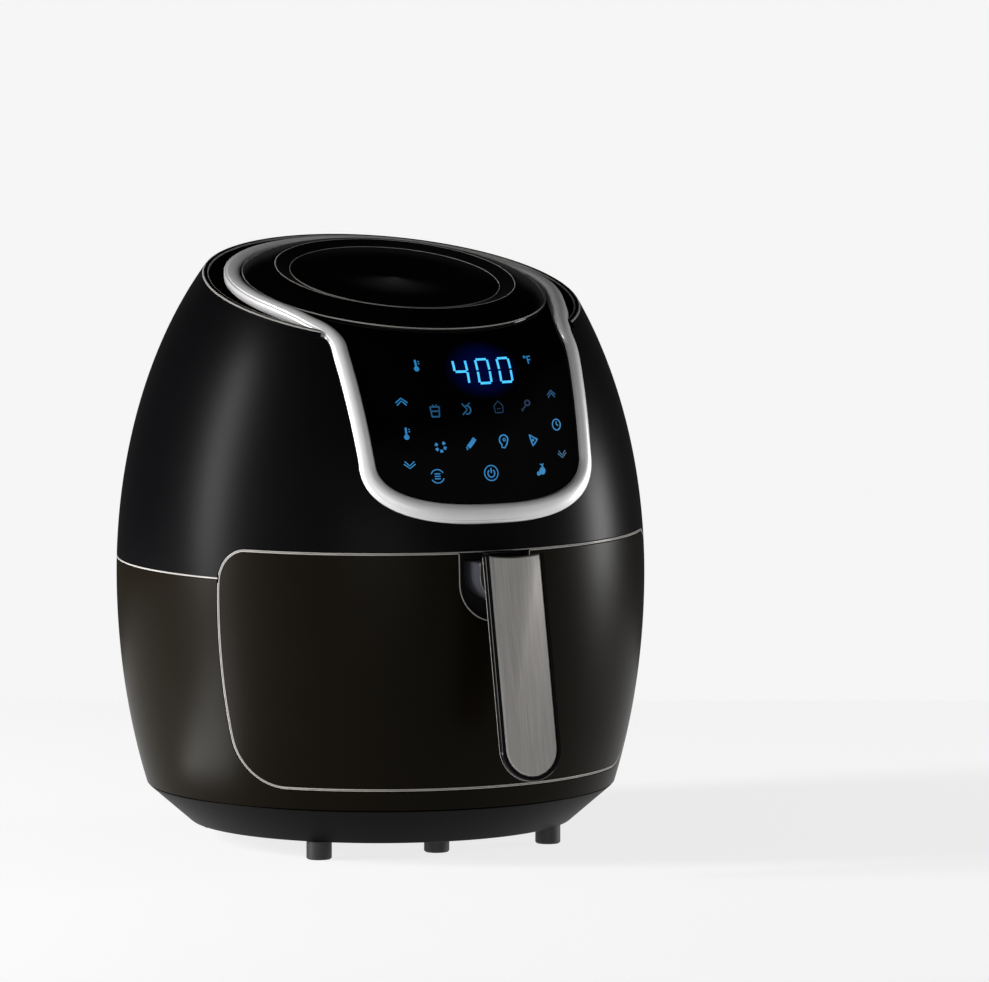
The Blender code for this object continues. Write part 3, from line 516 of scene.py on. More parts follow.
def panel_outline(inset, top):
    """Front view of the panel inside the trim's middle line, drawn in by an inset, as (x, z)."""
    right = [(panel_half_width(height) - inset, height) for height in (top, 262.0, 248.0, 235.0)]
    for x, height in trim_corner(24):
        away = Vector((x / PANEL_HALF_WIDTH, (height - PANEL_CORNER_HEIGHT) / 32.0)).normalized()
        right.append((x - inset * away.x, height - inset * away.y))
    return right + [(-x, height) for x, height in reversed(right[:-1])]


def trim_path(between=5):
    """Middle line of the trim on the skin, from the back of the lid down to the middle of its foot."""
    marks = []
    for degree in steps_between(180, 72, 18):
        angle = radians(degree)
        marks.append(lid_matrix() @ Vector((TRIM_RADIUS * sin(angle), -TRIM_RADIUS * cos(angle), 0)))
    marks += [Vector((79.8, -61.0, 297.5)), Vector((76.4, -72.5, 295.0)), Vector((72.8, -82.0, 292.0))]
    for height in (284.0, 275.0, 262.0, 248.0, 235.0):
        x = panel_half_width(height)
        marks.append(Vector((x, -sqrt(shell_radius(height) ** 2 - x * x), height)))
    for x, height in trim_corner(14):
        marks.append(Vector((x, -sqrt(shell_radius(height) ** 2 - x * x), height)))
    path = []
    for k in range(len(marks) - 1):
        before, start, end = marks[max(k - 1, 0)], marks[k], marks[k + 1]
        after = marks[min(k + 2, len(marks) - 1)]
        for j in range(between):
            t = j / between
            curve = start * 2 + (end - before) * t + (before * 2 - start * 5 + end * 4 - after) * t * t
            path.append((curve + (start * 3 - before - end * 3 + after) * t**3) / 2)
    return [on_skin(point) for point in path + [marks[-1]]]


TRIM_LINE = trim_path()
TRIM_LINE += mirrored(reversed(TRIM_LINE[1:-1]))


def trim_rings(section_at):
    """Rings across the trim all the way round. section_at gives (across, height) pairs for a half width."""
    rings = []
    for k, point in enumerate(TRIM_LINE):
        forward = (TRIM_LINE[(k + 1) % len(TRIM_LINE)] - TRIM_LINE[k - 1]).normalized()
        outward = skin_normal(point)
        across = outward.cross(forward).normalized()
        low_down = max(PANEL_CORNER_HEIGHT - point.z, 0) / (PANEL_CORNER_HEIGHT - PANEL_BOTTOM)
        half = TRIM_HALF_WIDTH + (TRIM_FOOT_HALF_WIDTH - TRIM_HALF_WIDTH) * low_down
        rings.append([point + across * a + outward * b for a, b in section_at(half, point)])
    return rings


def seat_section(half, point):
    return [(-half - 0.25, -7), (-half - 0.25, 7), (half + 0.25, 7), (half + 0.25, -7)]


def rim_ring(angle):
    """Section of the shell's rim at an angle: the wall, a rounded lip with a shallow groove, and the
    inside."""
    height = LID_HEIGHT
    for _ in range(30):
        y = -shell_radius(height) * cos(angle)
        height = LID_HEIGHT - RIM_DROP / cos(LID_LEAN) + (y + LID_REACH) * tan(LID_LEAN)
    radius = shell_radius(height)
    place = Vector((radius * sin(angle), -radius * cos(angle), height))
    inward = Vector((-sin(angle), cos(angle), 0))
    up = Vector((0, -sin(LID_LEAN), cos(LID_LEAN)))
    inward = (inward - up * inward.dot(up)).normalized()
    outward = wall_normal(place)
    down = (Vector((0, 0, -1)) + outward * outward.z).normalized()
    wall = [place + down * 3.6, place + down * 0.75]
    outer = [place + down * 0.75, place + down * 0.2 + inward * 0.08, place + inward * 0.45]
    lip = [(0.45, 0.0), (1.2, 0.0), (1.5, -0.5), (2.3, -0.5), (2.5, 0.0)]
    lip = [place + inward * a + up * b for a, b in lip]
    inner = [place + inward * a + up * b for a, b in ((2.5, 0.0), (2.9, 0.0), (3.15, -0.25), (3.2, -0.6))]
    inside = [place + inward * 3.2 + up * b for b in (-0.6, -3.6)]
    return {"wall": wall, "outer": outer, "lip": lip, "inner": inner, "inside": inside}


upper_heights = steps_between(334.0, PARTING_HEIGHT + HALF_SEAM + EDGE_ROUND, 48)
upper_profile = [(shell_radius(z), z) for z in upper_heights]
upper_profile += [(shell_radius(z, WALL), z) for z in reversed(steps_between(334.0, upper_heights[-1], 12))]
above_rim = moved(block((-200, -200, -RIM_DROP - 3.0), (200, 200, 200)), lid_matrix())
upper_shape = carved(
    "upper_shell_fine",
    turned(upper_profile),
    [
        ("DIFFERENCE", above_rim),
        ("DIFFERENCE", opening),
        ("DIFFERENCE", prism(panel_outline(0.0, 300.0), "Y", -170, -40)),
        ("DIFFERENCE", lofted(trim_rings(seat_section), closed=True)),
        ("DIFFERENCE", block((-42.4, 100, 173.6), (42.4, 170, 214.4))),
    ],
)
rim_rings = [rim_ring(radians(a)) for a in steps_between(41.5, 318.5, 200)]


def rim_part(name):
    return lofted([ring[name] for ring in rim_rings], open_section=True)


upper_edge = PARTING_HEIGHT + HALF_SEAM
parting_side = Vector(
    (sqrt(shell_radius(upper_edge) ** 2 - FRONT_EDGE_REACH**2), -FRONT_EDGE_REACH, upper_edge)
)
parting_start = atan2(parting_side.x, -parting_side.y)


def parting_line(height):
    path = []
    for angle in steps_between(parting_start, 2 * pi - parting_start, 150):
        radius = shell_radius(height)
        path.append(Vector((radius * sin(angle), -radius * cos(angle), height)))
    return path


opening_top = [p for p in opening_side if p.z > upper_edge]
opening_top = opening_top + along_wall(opening_top[-1], mirrored(opening_top)[-1], 90) + mirrored(opening_top)[
    ::-1
]
GAP_DEPTH = 3.4
GAP_LIP = 4.0
upper_walls = joined(
    rim_part("wall"),
    rim_part("lip"),
    rim_part("inside"),
    gap_wall(parting_line(upper_edge), -1, GAP_DEPTH),
    gap_wall(opening_top, 1, GAP_DEPTH, GAP_LIP),
)
piece(
    "upper_shell_fine",
    joined(upper_shape, upper_walls),
    SATIN_UPPER,
    "housing",
    ["upper_shell"],
    normal_at=wall_normal_if_outside,
)

# The rounded edges are glossier than the satin beside them, and their pale grey base colour is a painted highlight
# that stands in for the light they catch.
PAINTED_HIGHLIGHT_EDGE, tree, shader = new_material("abs_edge_painted_highlight", IOR=1.5, Specular_IOR_Level=0.1)
place = add_node(tree, "ShaderNodeTexCoord")
highlight_mottle = add_node(tree, "ShaderNodeTexNoise", {"Vector": place.outputs["Object"], "Scale": 35.0, "Detail": 3.0})
shade = add_node(
    tree, "ShaderNodeMix", {"Factor": highlight_mottle.outputs["Fac"], "A": srgb("#85827E"), "B": srgb("#A5A29E")},
    data_type="RGBA"
)
gloss = add_node(tree, "ShaderNodeMapRange", {"Value": highlight_mottle.outputs["Fac"], "To Min": 0.18, "To Max": 0.34})
tree.links.new(shade.outputs["Result"], shader.inputs["Base Color"])
tree.links.new(gloss.outputs["Result"], shader.inputs["Roughness"])
# The edge strips round the rim, the parting line and the opening carry the painted highlight.
upper_lines = joined(
    rim_part("outer"), rim_part("inner"), edge_line(parting_line(upper_edge), -1), edge_line(opening_top, 1)
)
piece("upper_shell_edges", upper_lines, PAINTED_HIGHLIGHT_EDGE, "housing")

lower_edge = PARTING_HEIGHT - HALF_SEAM
lower_heights = steps_between(lower_edge - EDGE_ROUND, SKIRT_HEIGHT + 0.3, 44)
lip_radius = shell_radius(PARTING_HEIGHT)
lower_profile = [(lip_radius - 1.6, PARTING_HEIGHT + 2.6), (lip_radius - 1.6, lower_edge - EDGE_ROUND)]
lower_profile += [(shell_radius(z), z) for z in lower_heights]
lower_profile += [(shell_radius(z, WALL), z) for z in reversed(steps_between(150.0, SKIRT_HEIGHT + 0.3, 12))]
lower_profile += [(lip_radius - WALL, PARTING_HEIGHT + 2.6)]
gland_hole = turned([(0, 20), (7.4, 20), (7.4, -20), (0, -20)], 40)
gland_hole = moved(gland_hole, Matrix.Translation((0, 136, 60)) @ Matrix.Rotation(pi / 2, 4, "X"))
lower_shape = carved(
    "lower_shell_fine", turned(lower_profile), [("DIFFERENCE", opening), ("DIFFERENCE", gland_hole)]
)
opening_foot = [p for p in opening_side if p.z < lower_edge]
opening_foot = (
    mirrored(opening_foot)[::-1] + along_wall(mirrored(opening_foot)[0], opening_foot[0], 90) + opening_foot
)
lower_walls = joined(
    gap_wall(parting_line(lower_edge), 1, GAP_DEPTH, GAP_LIP), gap_wall(opening_foot, 1, GAP_DEPTH, GAP_LIP)
)
# The lower shell's edge strips carry the painted highlight too.
lower_lines = joined(edge_line(parting_line(lower_edge), 1), edge_line(opening_foot, 1))
piece("lower_shell_edges", lower_lines, PAINTED_HIGHLIGHT_EDGE, "housing")
piece(
    "lower_shell_fine",
    joined(lower_shape, lower_walls),
    SATIN_LOWER_WARM_REFLECTION,
    "housing",
    ["lower_shell"],
    normal_at=wall_normal_if_outside,
)

# ---- Base pan, feet and screws --------------------------------------------------------------------
# A matt polypropylene pan closes the bottom, tapering in below the shell, with vent slots moulded through.
# Five rubber posts are pushed into it, and four plated cross-head screws hold it up.

BASE_PLASTIC = moulded_abs("polypropylene_matt_black", "#070707", "#0A0A0A", 0.42, 1.1, 0.02)


def softened(outline, radius, steps=3):
    """A closed outline whose corners are rounded by an arc near the given radius."""
    made = []
    for k, corner in enumerate(outline):
        corner = Vector(corner)
        before, after = Vector(outline[k - 1]) - corner, Vector(outline[(k + 1) % len(outline)]) - corner
        reach = min(radius, 0.45 * before.length, 0.45 * after.length)
        if before.length < 1e-6 or after.length < 1e-6 or before.angle(after) > radians(165):
            made.append(tuple(corner))
            continue
        first, last = corner + before.normalized() * reach, corner + after.normalized() * reach
        for t in steps_between(0, 1, steps):
            made.append(tuple(first * (1 - t) ** 2 + corner * (2 * t * (1 - t)) + last * t * t))
    return made


def turned_soft(profile, radius, sides=ROUND_SIDES):
    """Turns a profile with softened corners, leaving the points on the axis where they are."""
    soft = softened(profile, radius)
    return turned([(max(r, 0.0), h) for r, h in soft], sides)


SKIRT_BOTTOM = 10.2
SKIRT_BOTTOM_RADIUS = 104.6
base_rim = shell_radius(SKIRT_HEIGHT) - 0.3
base_profile = [
    (base_rim, SKIRT_HEIGHT - 0.3),
    (SKIRT_BOTTOM_RADIUS, SKIRT_BOTTOM),
    (20, SKIRT_BOTTOM),
    (20, SKIRT_BOTTOM + 3),
    (SKIRT_BOTTOM_RADIUS - 1, SKIRT_BOTTOM + 3),
    (121.0, SKIRT_HEIGHT - 0.3),
    (122.4, 36.0),
    (124.6, 36.0),
    (124.6, SKIRT_HEIGHT - 0.3),
]
base_floor = turned(
    [(0, SKIRT_BOTTOM), (20.5, SKIRT_BOTTOM), (20.5, SKIRT_BOTTOM + 3), (0, SKIRT_BOTTOM + 3)], 60
)
vents = []
for side in (-1, 1):
    for k in range(4):
        x = side * (18 + 11 * k)
        slot = softened([(x - 2.2, 12), (x + 2.2, 12), (x + 2.2, 52), (x - 2.2, 52)], 2.2)
        vents.append(("DIFFERENCE", prism(slot, "Z", 0, 22)))
base_shape = carved("base_pan_fine", turned_soft(base_profile, 0.9), [("UNION", base_floor)] + vents)
piece("base_pan_fine", base_shape, BASE_PLASTIC, "housing", ["base_pan"])

FOOT_CIRCLE = 96.8
CENTRE_FOOT_REACH = 71.0
FOOT_RADIUS = 6.9
rubber, tree, shader = new_material("rubber_moulded_black", Roughness=0.62)
place = add_node(tree, "ShaderNodeTexCoord")
dust = add_node(
    tree, "ShaderNodeTexNoise", {"Vector": place.outputs["Object"], "Scale": 900.0, "Detail": 4.0}
)
shade = add_node(
    tree,
    "ShaderNodeMix",
    {"Factor": dust.outputs["Fac"], "A": srgb("#0B0B0B"), "B": srgb("#151514")},
    data_type="RGBA",
)
tree.links.new(shade.outputs["Result"], shader.inputs["Base Color"])
bump = add_node(tree, "ShaderNodeBump", {"Height": dust.outputs["Fac"], "Distance": 0.00003, "Strength": 0.5})
tree.links.new(bump.outputs["Normal"], shader.inputs["Normal"])
feet = {
    "front_left": (-45.5, FOOT_CIRCLE),
    "front_right": (45.5, FOOT_CIRCLE),
    "front_centre": (0, CENTRE_FOOT_REACH),
    "rear_left": (-134.5, FOOT_CIRCLE),
    "rear_right": (134.5, FOOT_CIRCLE),
}
foot_top = SKIRT_BOTTOM - 0.3
foot_profile = [(0, foot_top), (FOOT_RADIUS, foot_top), (FOOT_RADIUS, 0.7), (FOOT_RADIUS - 0.7, 0), (0, 0)]
for name, (degree, out) in feet.items():
    angle = radians(degree)
    place = Matrix.Translation((out * sin(angle), -out * cos(angle), 0))
    foot = moved(turned(foot_profile, 48), place)
    piece(f"foot_{name}_fine", foot, rubber, "housing", [f"foot_{name}"])

# ---- Lid ------------------------------------------------------------------------------------------
# A gloss-moulded ABS cover with a raised ring, and a polished disc set down inside it.
# The rounded edges of ring and disc carry thin painted highlight lines.

GLOSS_BLACK, tree, shader = new_material("abs_gloss_black", IOR=1.5, Specular_IOR_Level=0.08)
place = add_node(tree, "ShaderNodeTexCoord")
haze = add_node(tree, "ShaderNodeTexNoise", {"Vector": place.outputs["Object"], "Scale": 40.0, "Detail": 4.0})
film = add_node(
    tree, "ShaderNodeMapRange", {"Value": haze.outputs["Fac"], "To Min": 0.045, "To Max": 0.085}
)
tint = add_node(
    tree, "ShaderNodeMix", {"Factor": haze.outputs["Fac"], "A": srgb("#020202"), "B": srgb("#040405")},
    data_type="RGBA"
)
tree.links.new(film.outputs["Result"], shader.inputs["Roughness"])
tree.links.new(tint.outputs["Result"], shader.inputs["Base Color"])

COVER_RADIUS = 83.6
DISC_RADIUS = 57.8
cover_profile = [
    (0, 2.6),
    (58.2, 2.6),
    (58.2, 4.1),
    (64.8, 6.5),
    (66.4, 6.5),
    (69.5, 5.95),
    (72.5, 5.2),
    (75.3, 4.4),
    (78.0, 3.5),
    (81.4, 1.7),
    (COVER_RADIUS, -0.2),
    (COVER_RADIUS, -8.0),
    (81.4, -8.0),
    (81.4, -1.0),
    (77.0, 1.2),
    (60.0, 0.2),
    (0, 0.2),
]
cover = moved(turned_soft(cover_profile, 0.5, 240), lid_matrix())
piece("top_cover_fine", cover, GLOSS_BLACK, "housing", ["top_cover"], smooth_angle=50)
disc_profile = [(0, 4.5), (57.0, 4.5), (DISC_RADIUS, 4.0), (DISC_RADIUS, 2.9), (0, 2.9)]
disc = moved(turned_soft(disc_profile, 0.35, 240), lid_matrix())
piece("lid_disc_fine", disc, GLOSS_BLACK, "housing", ["lid_disc"], smooth_angle=50)

GRILLE_PLASTIC = moulded_abs("abs_matt_black", "#080808", "#0B0B0B", 0.45, 0.9, 0.02)
# Thin painted highlight lines where the ring's crest, the disc's rim and the cover's own edge are rounded over.
for name, radius, height, width in (
    ("ring", 65.7, 6.5, 0.75), ("disc", 57.5, 4.42, 0.4), ("cover", 83.1, 0.55, 0.6)
):
    line = [(radius - width / 2, height), (radius, height + 0.12), (radius + width / 2, height - 0.02)]
    line += [(radius + width / 2, height - 0.5), (radius - width / 2, height - 0.5)]
    line = moved(turned(line, 240), lid_matrix())
    piece(f"lid_{name}_edge", line, PAINTED_HIGHLIGHT_EDGE, "housing")
slope = [(58.3, 4.2), (64.9, 6.56), (64.9, 6.2), (58.3, 3.9)]
piece(
    "lid_dish_slope", moved(turned(slope, 240), lid_matrix()), GRILLE_PLASTIC, "housing"
)

# ---- Trim band ------------------------------------------------------------------------------------
# One ABS moulding painted silver, with a crowned face and a fine step along its inner side.
# It clips round the lid and down round the touch panel. Flake in the paint makes it sparkle a little.

SILVER, tree, shader = new_material(
    "abs_silver_painted", Metallic=0.25, Coat_Weight=0.3, Coat_Roughness=0.15, IOR=1.5
)
place = add_node(tree, "ShaderNodeTexCoord")
# Real flake is about 0.05 mm. It is drawn at 0.6 mm so that it shows.
flake = add_node(tree, "ShaderNodeTexVoronoi", {"Vector": place.outputs["Object"], "Scale": 1 / (0.6 * MM)})
cloud = add_node(
    tree, "ShaderNodeTexNoise", {"Vector": place.outputs["Object"], "Scale": 60.0, "Detail": 3.0}
)
lustre = add_node(
    tree, "ShaderNodeMix", {"Factor": cloud.outputs["Fac"], "A": srgb("#DCDBDB"), "B": srgb("#CBCACA")},
    data_type="RGBA"
)
glint = add_node(
    tree, "ShaderNodeMapRange", {"Value": flake.outputs["Color"], "To Min": 0.3, "To Max": 0.42}
)
tilt = add_node(
    tree, "ShaderNodeBump", {"Height": flake.outputs["Distance"], "Distance": 0.00003, "Strength": 0.25}
)
tree.links.new(lustre.outputs["Result"], shader.inputs["Base Color"])
tree.links.new(glint.outputs["Result"], shader.inputs["Roughness"])
tree.links.new(tilt.outputs["Normal"], shader.inputs["Normal"])


def crowned_section(half, point):
    """The trim's section. It stands proud down the front and sinks level with the cover at the back."""
    sink = min(max((point.y + 45.0) / 80.0, 0.0), 1.0)
    crown = 1.0 - 0.8 * sink * sink * (3 - 2 * sink)
    outer = [(-half, 0.5), (-half + 0.25, 1.15), (-half + 0.9, 1.9), (-half + 2.0, 2.5), (-half + 3.2, 2.75)]
    inner = [(half - 2.4, 2.5), (half - 1.75, 2.2), (half - 1.5, 1.55), (half - 0.9, 1.45), (half - 0.3, 1.1)]
    face = outer + [(0.4, 2.75)] + inner + [(half, 0.4)]
    return [(-half, -3.3)] + [(a, b * crown) for a, b in face] + [(half, -3.3)]


trim = lofted(trim_rings(crowned_section), closed=True)
piece("trim_band_fine", trim, SILVER, "housing", ["trim_band"], smooth_angle=40)

# ---- Air intake -----------------------------------------------------------------------------------
# A slotted ring of matt ABS lies below the rim between shell and trim, round the sides and the back.
# Cooling air for the motor and the board is drawn in through it.

grille_plate = turned([(100.8, -9.5), (100.8, -11.5), (86.0, -11.5), (86.0, -9.5)], 120, (74, 286))
slots = []
for degree in steps_between(79, 281, 64):
    bar = block((-1.1, -99.2, -15), (1.1, -88.0, -5))
    slots.append(moved(bar, Matrix.Rotation(radians(degree), 4, "Z")))
slots = [("DIFFERENCE", joined(*slots))]
intake = carved("intake_grille_fine", grille_plate, slots)
intake = moved(intake, lid_matrix() @ Matrix.Translation((0, 5, 0)))
piece("intake_grille_fine", intake, GRILLE_PLASTIC, "housing", ["intake_grille"])

# ---- Touch panel ----------------------------------------------------------------------------------
# A smoked acrylic lens sits inside the trim, polished like glass, with the lamps and digits behind it.
# Touch keys under it are lit from the board in blue, and the digits spill a deep blue glow round them.

LENS, tree, shader = new_material(
    "acrylic_smoked_polished", IOR=1.49, Specular_IOR_Level=0.04, Emission_Strength=1.0
)
place = add_node(tree, "ShaderNodeTexCoord")
smear = add_node(
    tree, "ShaderNodeTexNoise", {"Vector": place.outputs["Object"], "Scale": 30.0, "Detail": 3.0}
)
film = add_node(tree, "ShaderNodeMapRange", {"Value": smear.outputs["Fac"], "To Min": 0.03, "To Max": 0.06})
tree.links.new(film.outputs["Result"], shader.inputs["Roughness"])
tint = add_node(
    tree, "ShaderNodeMix", {"Factor": smear.outputs["Fac"], "A": srgb("#010102"), "B": srgb("#030304")},
    data_type="RGBA"
)
tree.links.new(tint.outputs["Result"], shader.inputs["Base Color"])
DIGIT_MIDDLE = (3.75, 267.0)
from_digits = add_node(
    tree,
    "ShaderNodeVectorMath",
    {0: place.outputs["Object"], 1: (DIGIT_MIDDLE[0] * MM, 0.0, DIGIT_MIDDLE[1] * MM)},
    operation="SUBTRACT",
)
flat = add_node(
    tree, "ShaderNodeVectorMath", {0: from_digits.outputs["Vector"], 1: (1.0, 0.0, 1.5)}, operation="MULTIPLY"
)
away = add_node(tree, "ShaderNodeVectorMath", {0: flat.outputs["Vector"]}, operation="LENGTH")
glow = add_node(
    tree,
    "ShaderNodeMapRange",
    {"Value": away.outputs["Value"], "From Min": 8 * MM, "From Max": 24 * MM, "To Min": 1.0, "To Max": 0.0},
    interpolation_type="SMOOTHSTEP",
)
spill = add_node(
    tree,
    "ShaderNodeMix",
    {"Factor": glow.outputs["Result"], "A": srgb("#000000"), "B": srgb("#000632")},
    data_type="RGBA",
)
tree.links.new(spill.outputs["Result"], shader.inputs["Emission Color"])

LENS_OFFSET = -0.6
LENS_THICKNESS = 2.4
LENS_HALF_WIDTH = 74.0


def skin_ray(x, angle, offset):
    """Where a ray from inside the body, in the upright plane at x, comes through the skin."""
    near, far = 10.0, 170.0
    for _ in range(30):
        middle = (near + far) / 2
        point = (x, -40.0 - middle * cos(angle), 225.0 + middle * sin(angle))
        if point[2] > WIDEST_HEIGHT + UPPER_SEMI_HEIGHT - 5 or skin_height(point) > offset:
            far = middle
        else:
            near = middle
    return (x, -40.0 - near * cos(angle), 225.0 + near * sin(angle))


lens_rings = []
across = steps_between(-LENS_HALF_WIDTH, LENS_HALF_WIDTH, 56)
for degree in steps_between(84, -21, 60):
    front = [skin_ray(x, radians(degree), LENS_OFFSET) for x in across]
    back = [skin_ray(x, radians(degree), LENS_OFFSET - LENS_THICKNESS) for x in across]
    lens_rings.append(front + back[::-1])
inside = []
for x, z in panel_outline(TRIM_HALF_WIDTH + 0.3, 304.0):
    inside.append((x, z if z > 196 else max(z, PANEL_BOTTOM + TRIM_FOOT_HALF_WIDTH + 0.3)))
lid_bore = moved(
    turned([(0, 60), (COVER_RADIUS + 0.5, 60), (COVER_RADIUS + 0.5, -60), (0, -60)], 240), lid_matrix()
)


def lens_normal(point):
    return skin_normal(point) if abs(skin_height(point) - LENS_OFFSET) < 0.05 else None


lens_shape = carved(
    "panel_lens_fine",
    lofted(lens_rings),
    [
        ("INTERSECT", prism(inside, "Y", -170, -30)),
        ("DIFFERENCE", lid_bore),
        ("DIFFERENCE", lofted(trim_rings(seat_section), closed=True)),
    ],
)
piece(
    "panel_lens_fine", lens_shape, LENS, "housing", ["panel_lens"], normal_at=lens_normal
)


def lamp(name, colour, strength):
    """Light through a printed window: a strong colour that wavers slightly as the diffuser does."""
    made, tree, shader = new_material(name, Emission_Strength=strength, Roughness=0.3)
    shader.inputs["Base Color"].default_value = srgb("#04070C")
    place = add_node(tree, "ShaderNodeTexCoord")
    waver = add_node(tree, "ShaderNodeTexNoise", {"Vector": place.outputs["Object"], "Scale": 400.0})
    soft = add_node(
        tree,
        "ShaderNodeMix",
        {"Factor": waver.outputs["Fac"], "A": srgb(colour), "B": srgb(colour)},
        data_type="RGBA",
        blend_type="MULTIPLY",
    )
    tree.links.new(soft.outputs["Result"], shader.inputs["Emission Color"])
    return made


DIGIT_LAMP = lamp("led_digit_cyan", "#5FD2FF", 1.25)
KEY_LAMP = lamp("led_key_blue", "#42A9DE", 0.75)
ROW_LAMP = lamp("led_key_blue_soft", "#3289B8", 0.5)
DIM_LAMP = lamp("led_key_dim_blue", "#2F5F8C", 0.35)


def on_lens(x, z, offset):
    return on_skin((x, -sqrt(shell_radius(z) ** 2 - x * x), z), offset)


def stroke(path, width, closed=False):
    """A printed line on the lens, given as (x, z) points in front view."""
    rings = []
    fine = []
    for k, point in enumerate(path):
        start, end = Vector(point), Vector(path[(k + 1) % len(path)])
        if k + 1 == len(path) and not closed:
            fine.append(start)
            break
        parts = max(int((end - start).length / 1.5), 1)
        fine += [start.lerp(end, j / parts) for j in range(parts)]
    for k, point in enumerate(fine):
        ahead = fine[(k + 1) % len(fine)] if closed or k + 1 < len(fine) else point
        behind = fine[k - 1] if closed or k else point
        along = (ahead - behind).normalized()
        turn = Vector((along.y, -along.x)) * width / 2
        left, right = point + turn, point - turn
        rings.append(
            [on_lens(*left, -0.42), on_lens(*right, -0.42), on_lens(*right, -0.7), on_lens(*left, -0.7)]
        )
    return lofted(rings, closed=closed)


def arc(x, z, radius, start, end, count=14, squash=1.0):
    return [
        (x + radius * sin(radians(a)), z + radius * squash * cos(radians(a)))
        for a in steps_between(start, end, count)
    ]


def ring(x, z, radius, squash=1.0, count=20):
    return arc(x, z, radius, 0, 360, count, squash)[:-1]


# Seven-segment digits, slim, with a gap between segments.
DIGIT_HALF_WIDTH = 3.6
DIGIT_HALF_HEIGHT = 6.5
SEGMENT_WIDTH = 1.2
SEGMENT_GAP = 0.5
w, h, g = DIGIT_HALF_WIDTH, DIGIT_HALF_HEIGHT, SEGMENT_GAP
segments = {
    "top": ((-w + g, h), (w - g, h)),
    "middle": ((-w + g, 0), (w - g, 0)),
    "bottom": ((-w + g, -h), (w - g, -h)),
    "upper_left": ((-w, h - g), (-w, g)),
    "upper_right": ((w, h - g), (w, g)),
    "lower_left": ((-w, -g), (-w, -h + g)),
    "lower_right": ((w, -g), (w, -h + g)),
}
four = ("upper_left", "upper_right", "middle", "lower_right")
nought = ("top", "bottom", "upper_left", "upper_right", "lower_left", "lower_right")
lines = []
for k, lit in enumerate((four, nought, nought)):
    middle = DIGIT_MIDDLE[0] + 13.3 * (k - 1)
    for name in lit:
        (x1, z1), (x2, z2) = segments[name]
        ends = [(middle + x1, DIGIT_MIDDLE[1] + z1), (middle + x2, DIGIT_MIDDLE[1] + z2)]
        lines.append(stroke(ends, SEGMENT_WIDTH))
piece("display_digits", joined(*lines), DIGIT_LAMP, "housing")


KEY_SIZE = 0.68


def key(x, z, *strokes):
    """One key's sign, drawn round its middle in its own millimetres and brought down to its size."""
    made = []
    for path, width, *closed in strokes:
        path = [(x + KEY_SIZE * a, z + KEY_SIZE * b) for a, b in path]
        made.append(stroke(path, KEY_SIZE * width, *closed))
    return made


def chevron(x, z, direction):
    lines = []
    for lift, reach in ((1.0, 4.4), (-1.0, 3.6)):
        tip = direction * (1.9 + lift)
        foot = direction * (lift - 1.6)
        lines.append(([(-reach, foot), (0, tip), (reach, foot)], 0.8))
    return key(x, z, *lines)


def thermometer(x, z):
    return key(
        x,
        z,
        ([(0, 4.6), (0, -1.2)], 1.5),
        (ring(0, -2.8, 1.0), 2.0, True),
        ([(1.8, 3.2), (3.0, 3.2)], 0.7),
        ([(1.8, 1.4), (3.0, 1.4)], 0.7),
    )


keys = chevron(-44.3, 251.8, 1) + chevron(-44.0, 218.9, -1)
keys += thermometer(-44.0, 235.3) + thermometer(-33.6, 271.0)
keys += key(46.3, 236.2, (ring(0, 0, 4.2), 0.9, True), ([(0, 2.6), (0, 0), (1.8, -0.8)], 0.8))
# Degree ring and the letter for the scale.
keys += key(
    33.6,
    271.4,
    (ring(-2.6, 2.6, 0.9, count=10), 0.6, True),
    ([(0, -3.2), (0, 2.8), (3.2, 2.8)], 0.9),
    ([(0, 0), (2.6, 0)], 0.9),
)
# Second row: prawn ring, fish, steak and pizza.
lobes = [(arc(0, 0, 3.6, 30 + 62 * k, 66 + 62 * k, 4), 2.2) for k in range(5)]
keys += key(-26.8, 228.2, *lobes)
keys += key(
    -9.6,
    229.2,
    ([(-2.6, -2.6), (-0.9, -1.0), (1.0, 1.0), (2.6, 2.9), (3.4, 3.8)], 3.4),
    ([(-4.4, -2.6), (-3.4, -3.6), (-3.8, -4.8)], 1.0),
)
steak = arc(0, 1.0, 3.9, -150, 80, 16) + [(2.4, -2.4), (0.3, -5.0), (-2.4, -4.6), (-2.0, -2.2)]
keys += key(10.0, 229.6, (steak, 1.1, True), (ring(0.4, 1.2, 1.1, count=10), 0.7, True))
pizza = [(-3.6, 4.2), (4.0, 0.2), (-1.0, -4.4)]
keys += key(
    29.0, 229.2, ([pizza[0], pizza[1], pizza[2], pizza[0], pizza[1]], 1.1), (
        ring(-0.4, 0, 0.6, count=8), 1.0, True
    )
)
# Third row: turning spit, power and fruit.
keys += key(
    0.5,
    213.3,
    (ring(0, 0, 5.9), 0.8, True),
    (arc(0, -0.2, 3.0, 35, 325), 1.0),
    ([(0, 4.0), (0, 0)], 1.0),
)
bars = [([(-2.2, 1.9 * k), (2.2, 1.9 * k)], 0.9) for k in (-1, 0, 1)]
keys += key(-30.0, 212.6, (arc(0, 0, 5.2, -70, 60), 0.8), (arc(0, 0, 5.2, 110, 240), 0.8), *bars)
keys += key(
    32.6,
    213.2,
    (ring(0.6, -0.8, 1.6, count=12), 2.8, True),
    (arc(-1.8, 1.2, 3.4, 10, 80, 6), 0.8),
    ([(0.4, 2.4), (2.0, 4.8)], 0.8),
    (ring(-3.2, -2.6, 1.0, count=10), 1.5, True),
)
piece("display_keys", joined(*keys), KEY_LAMP, "housing")

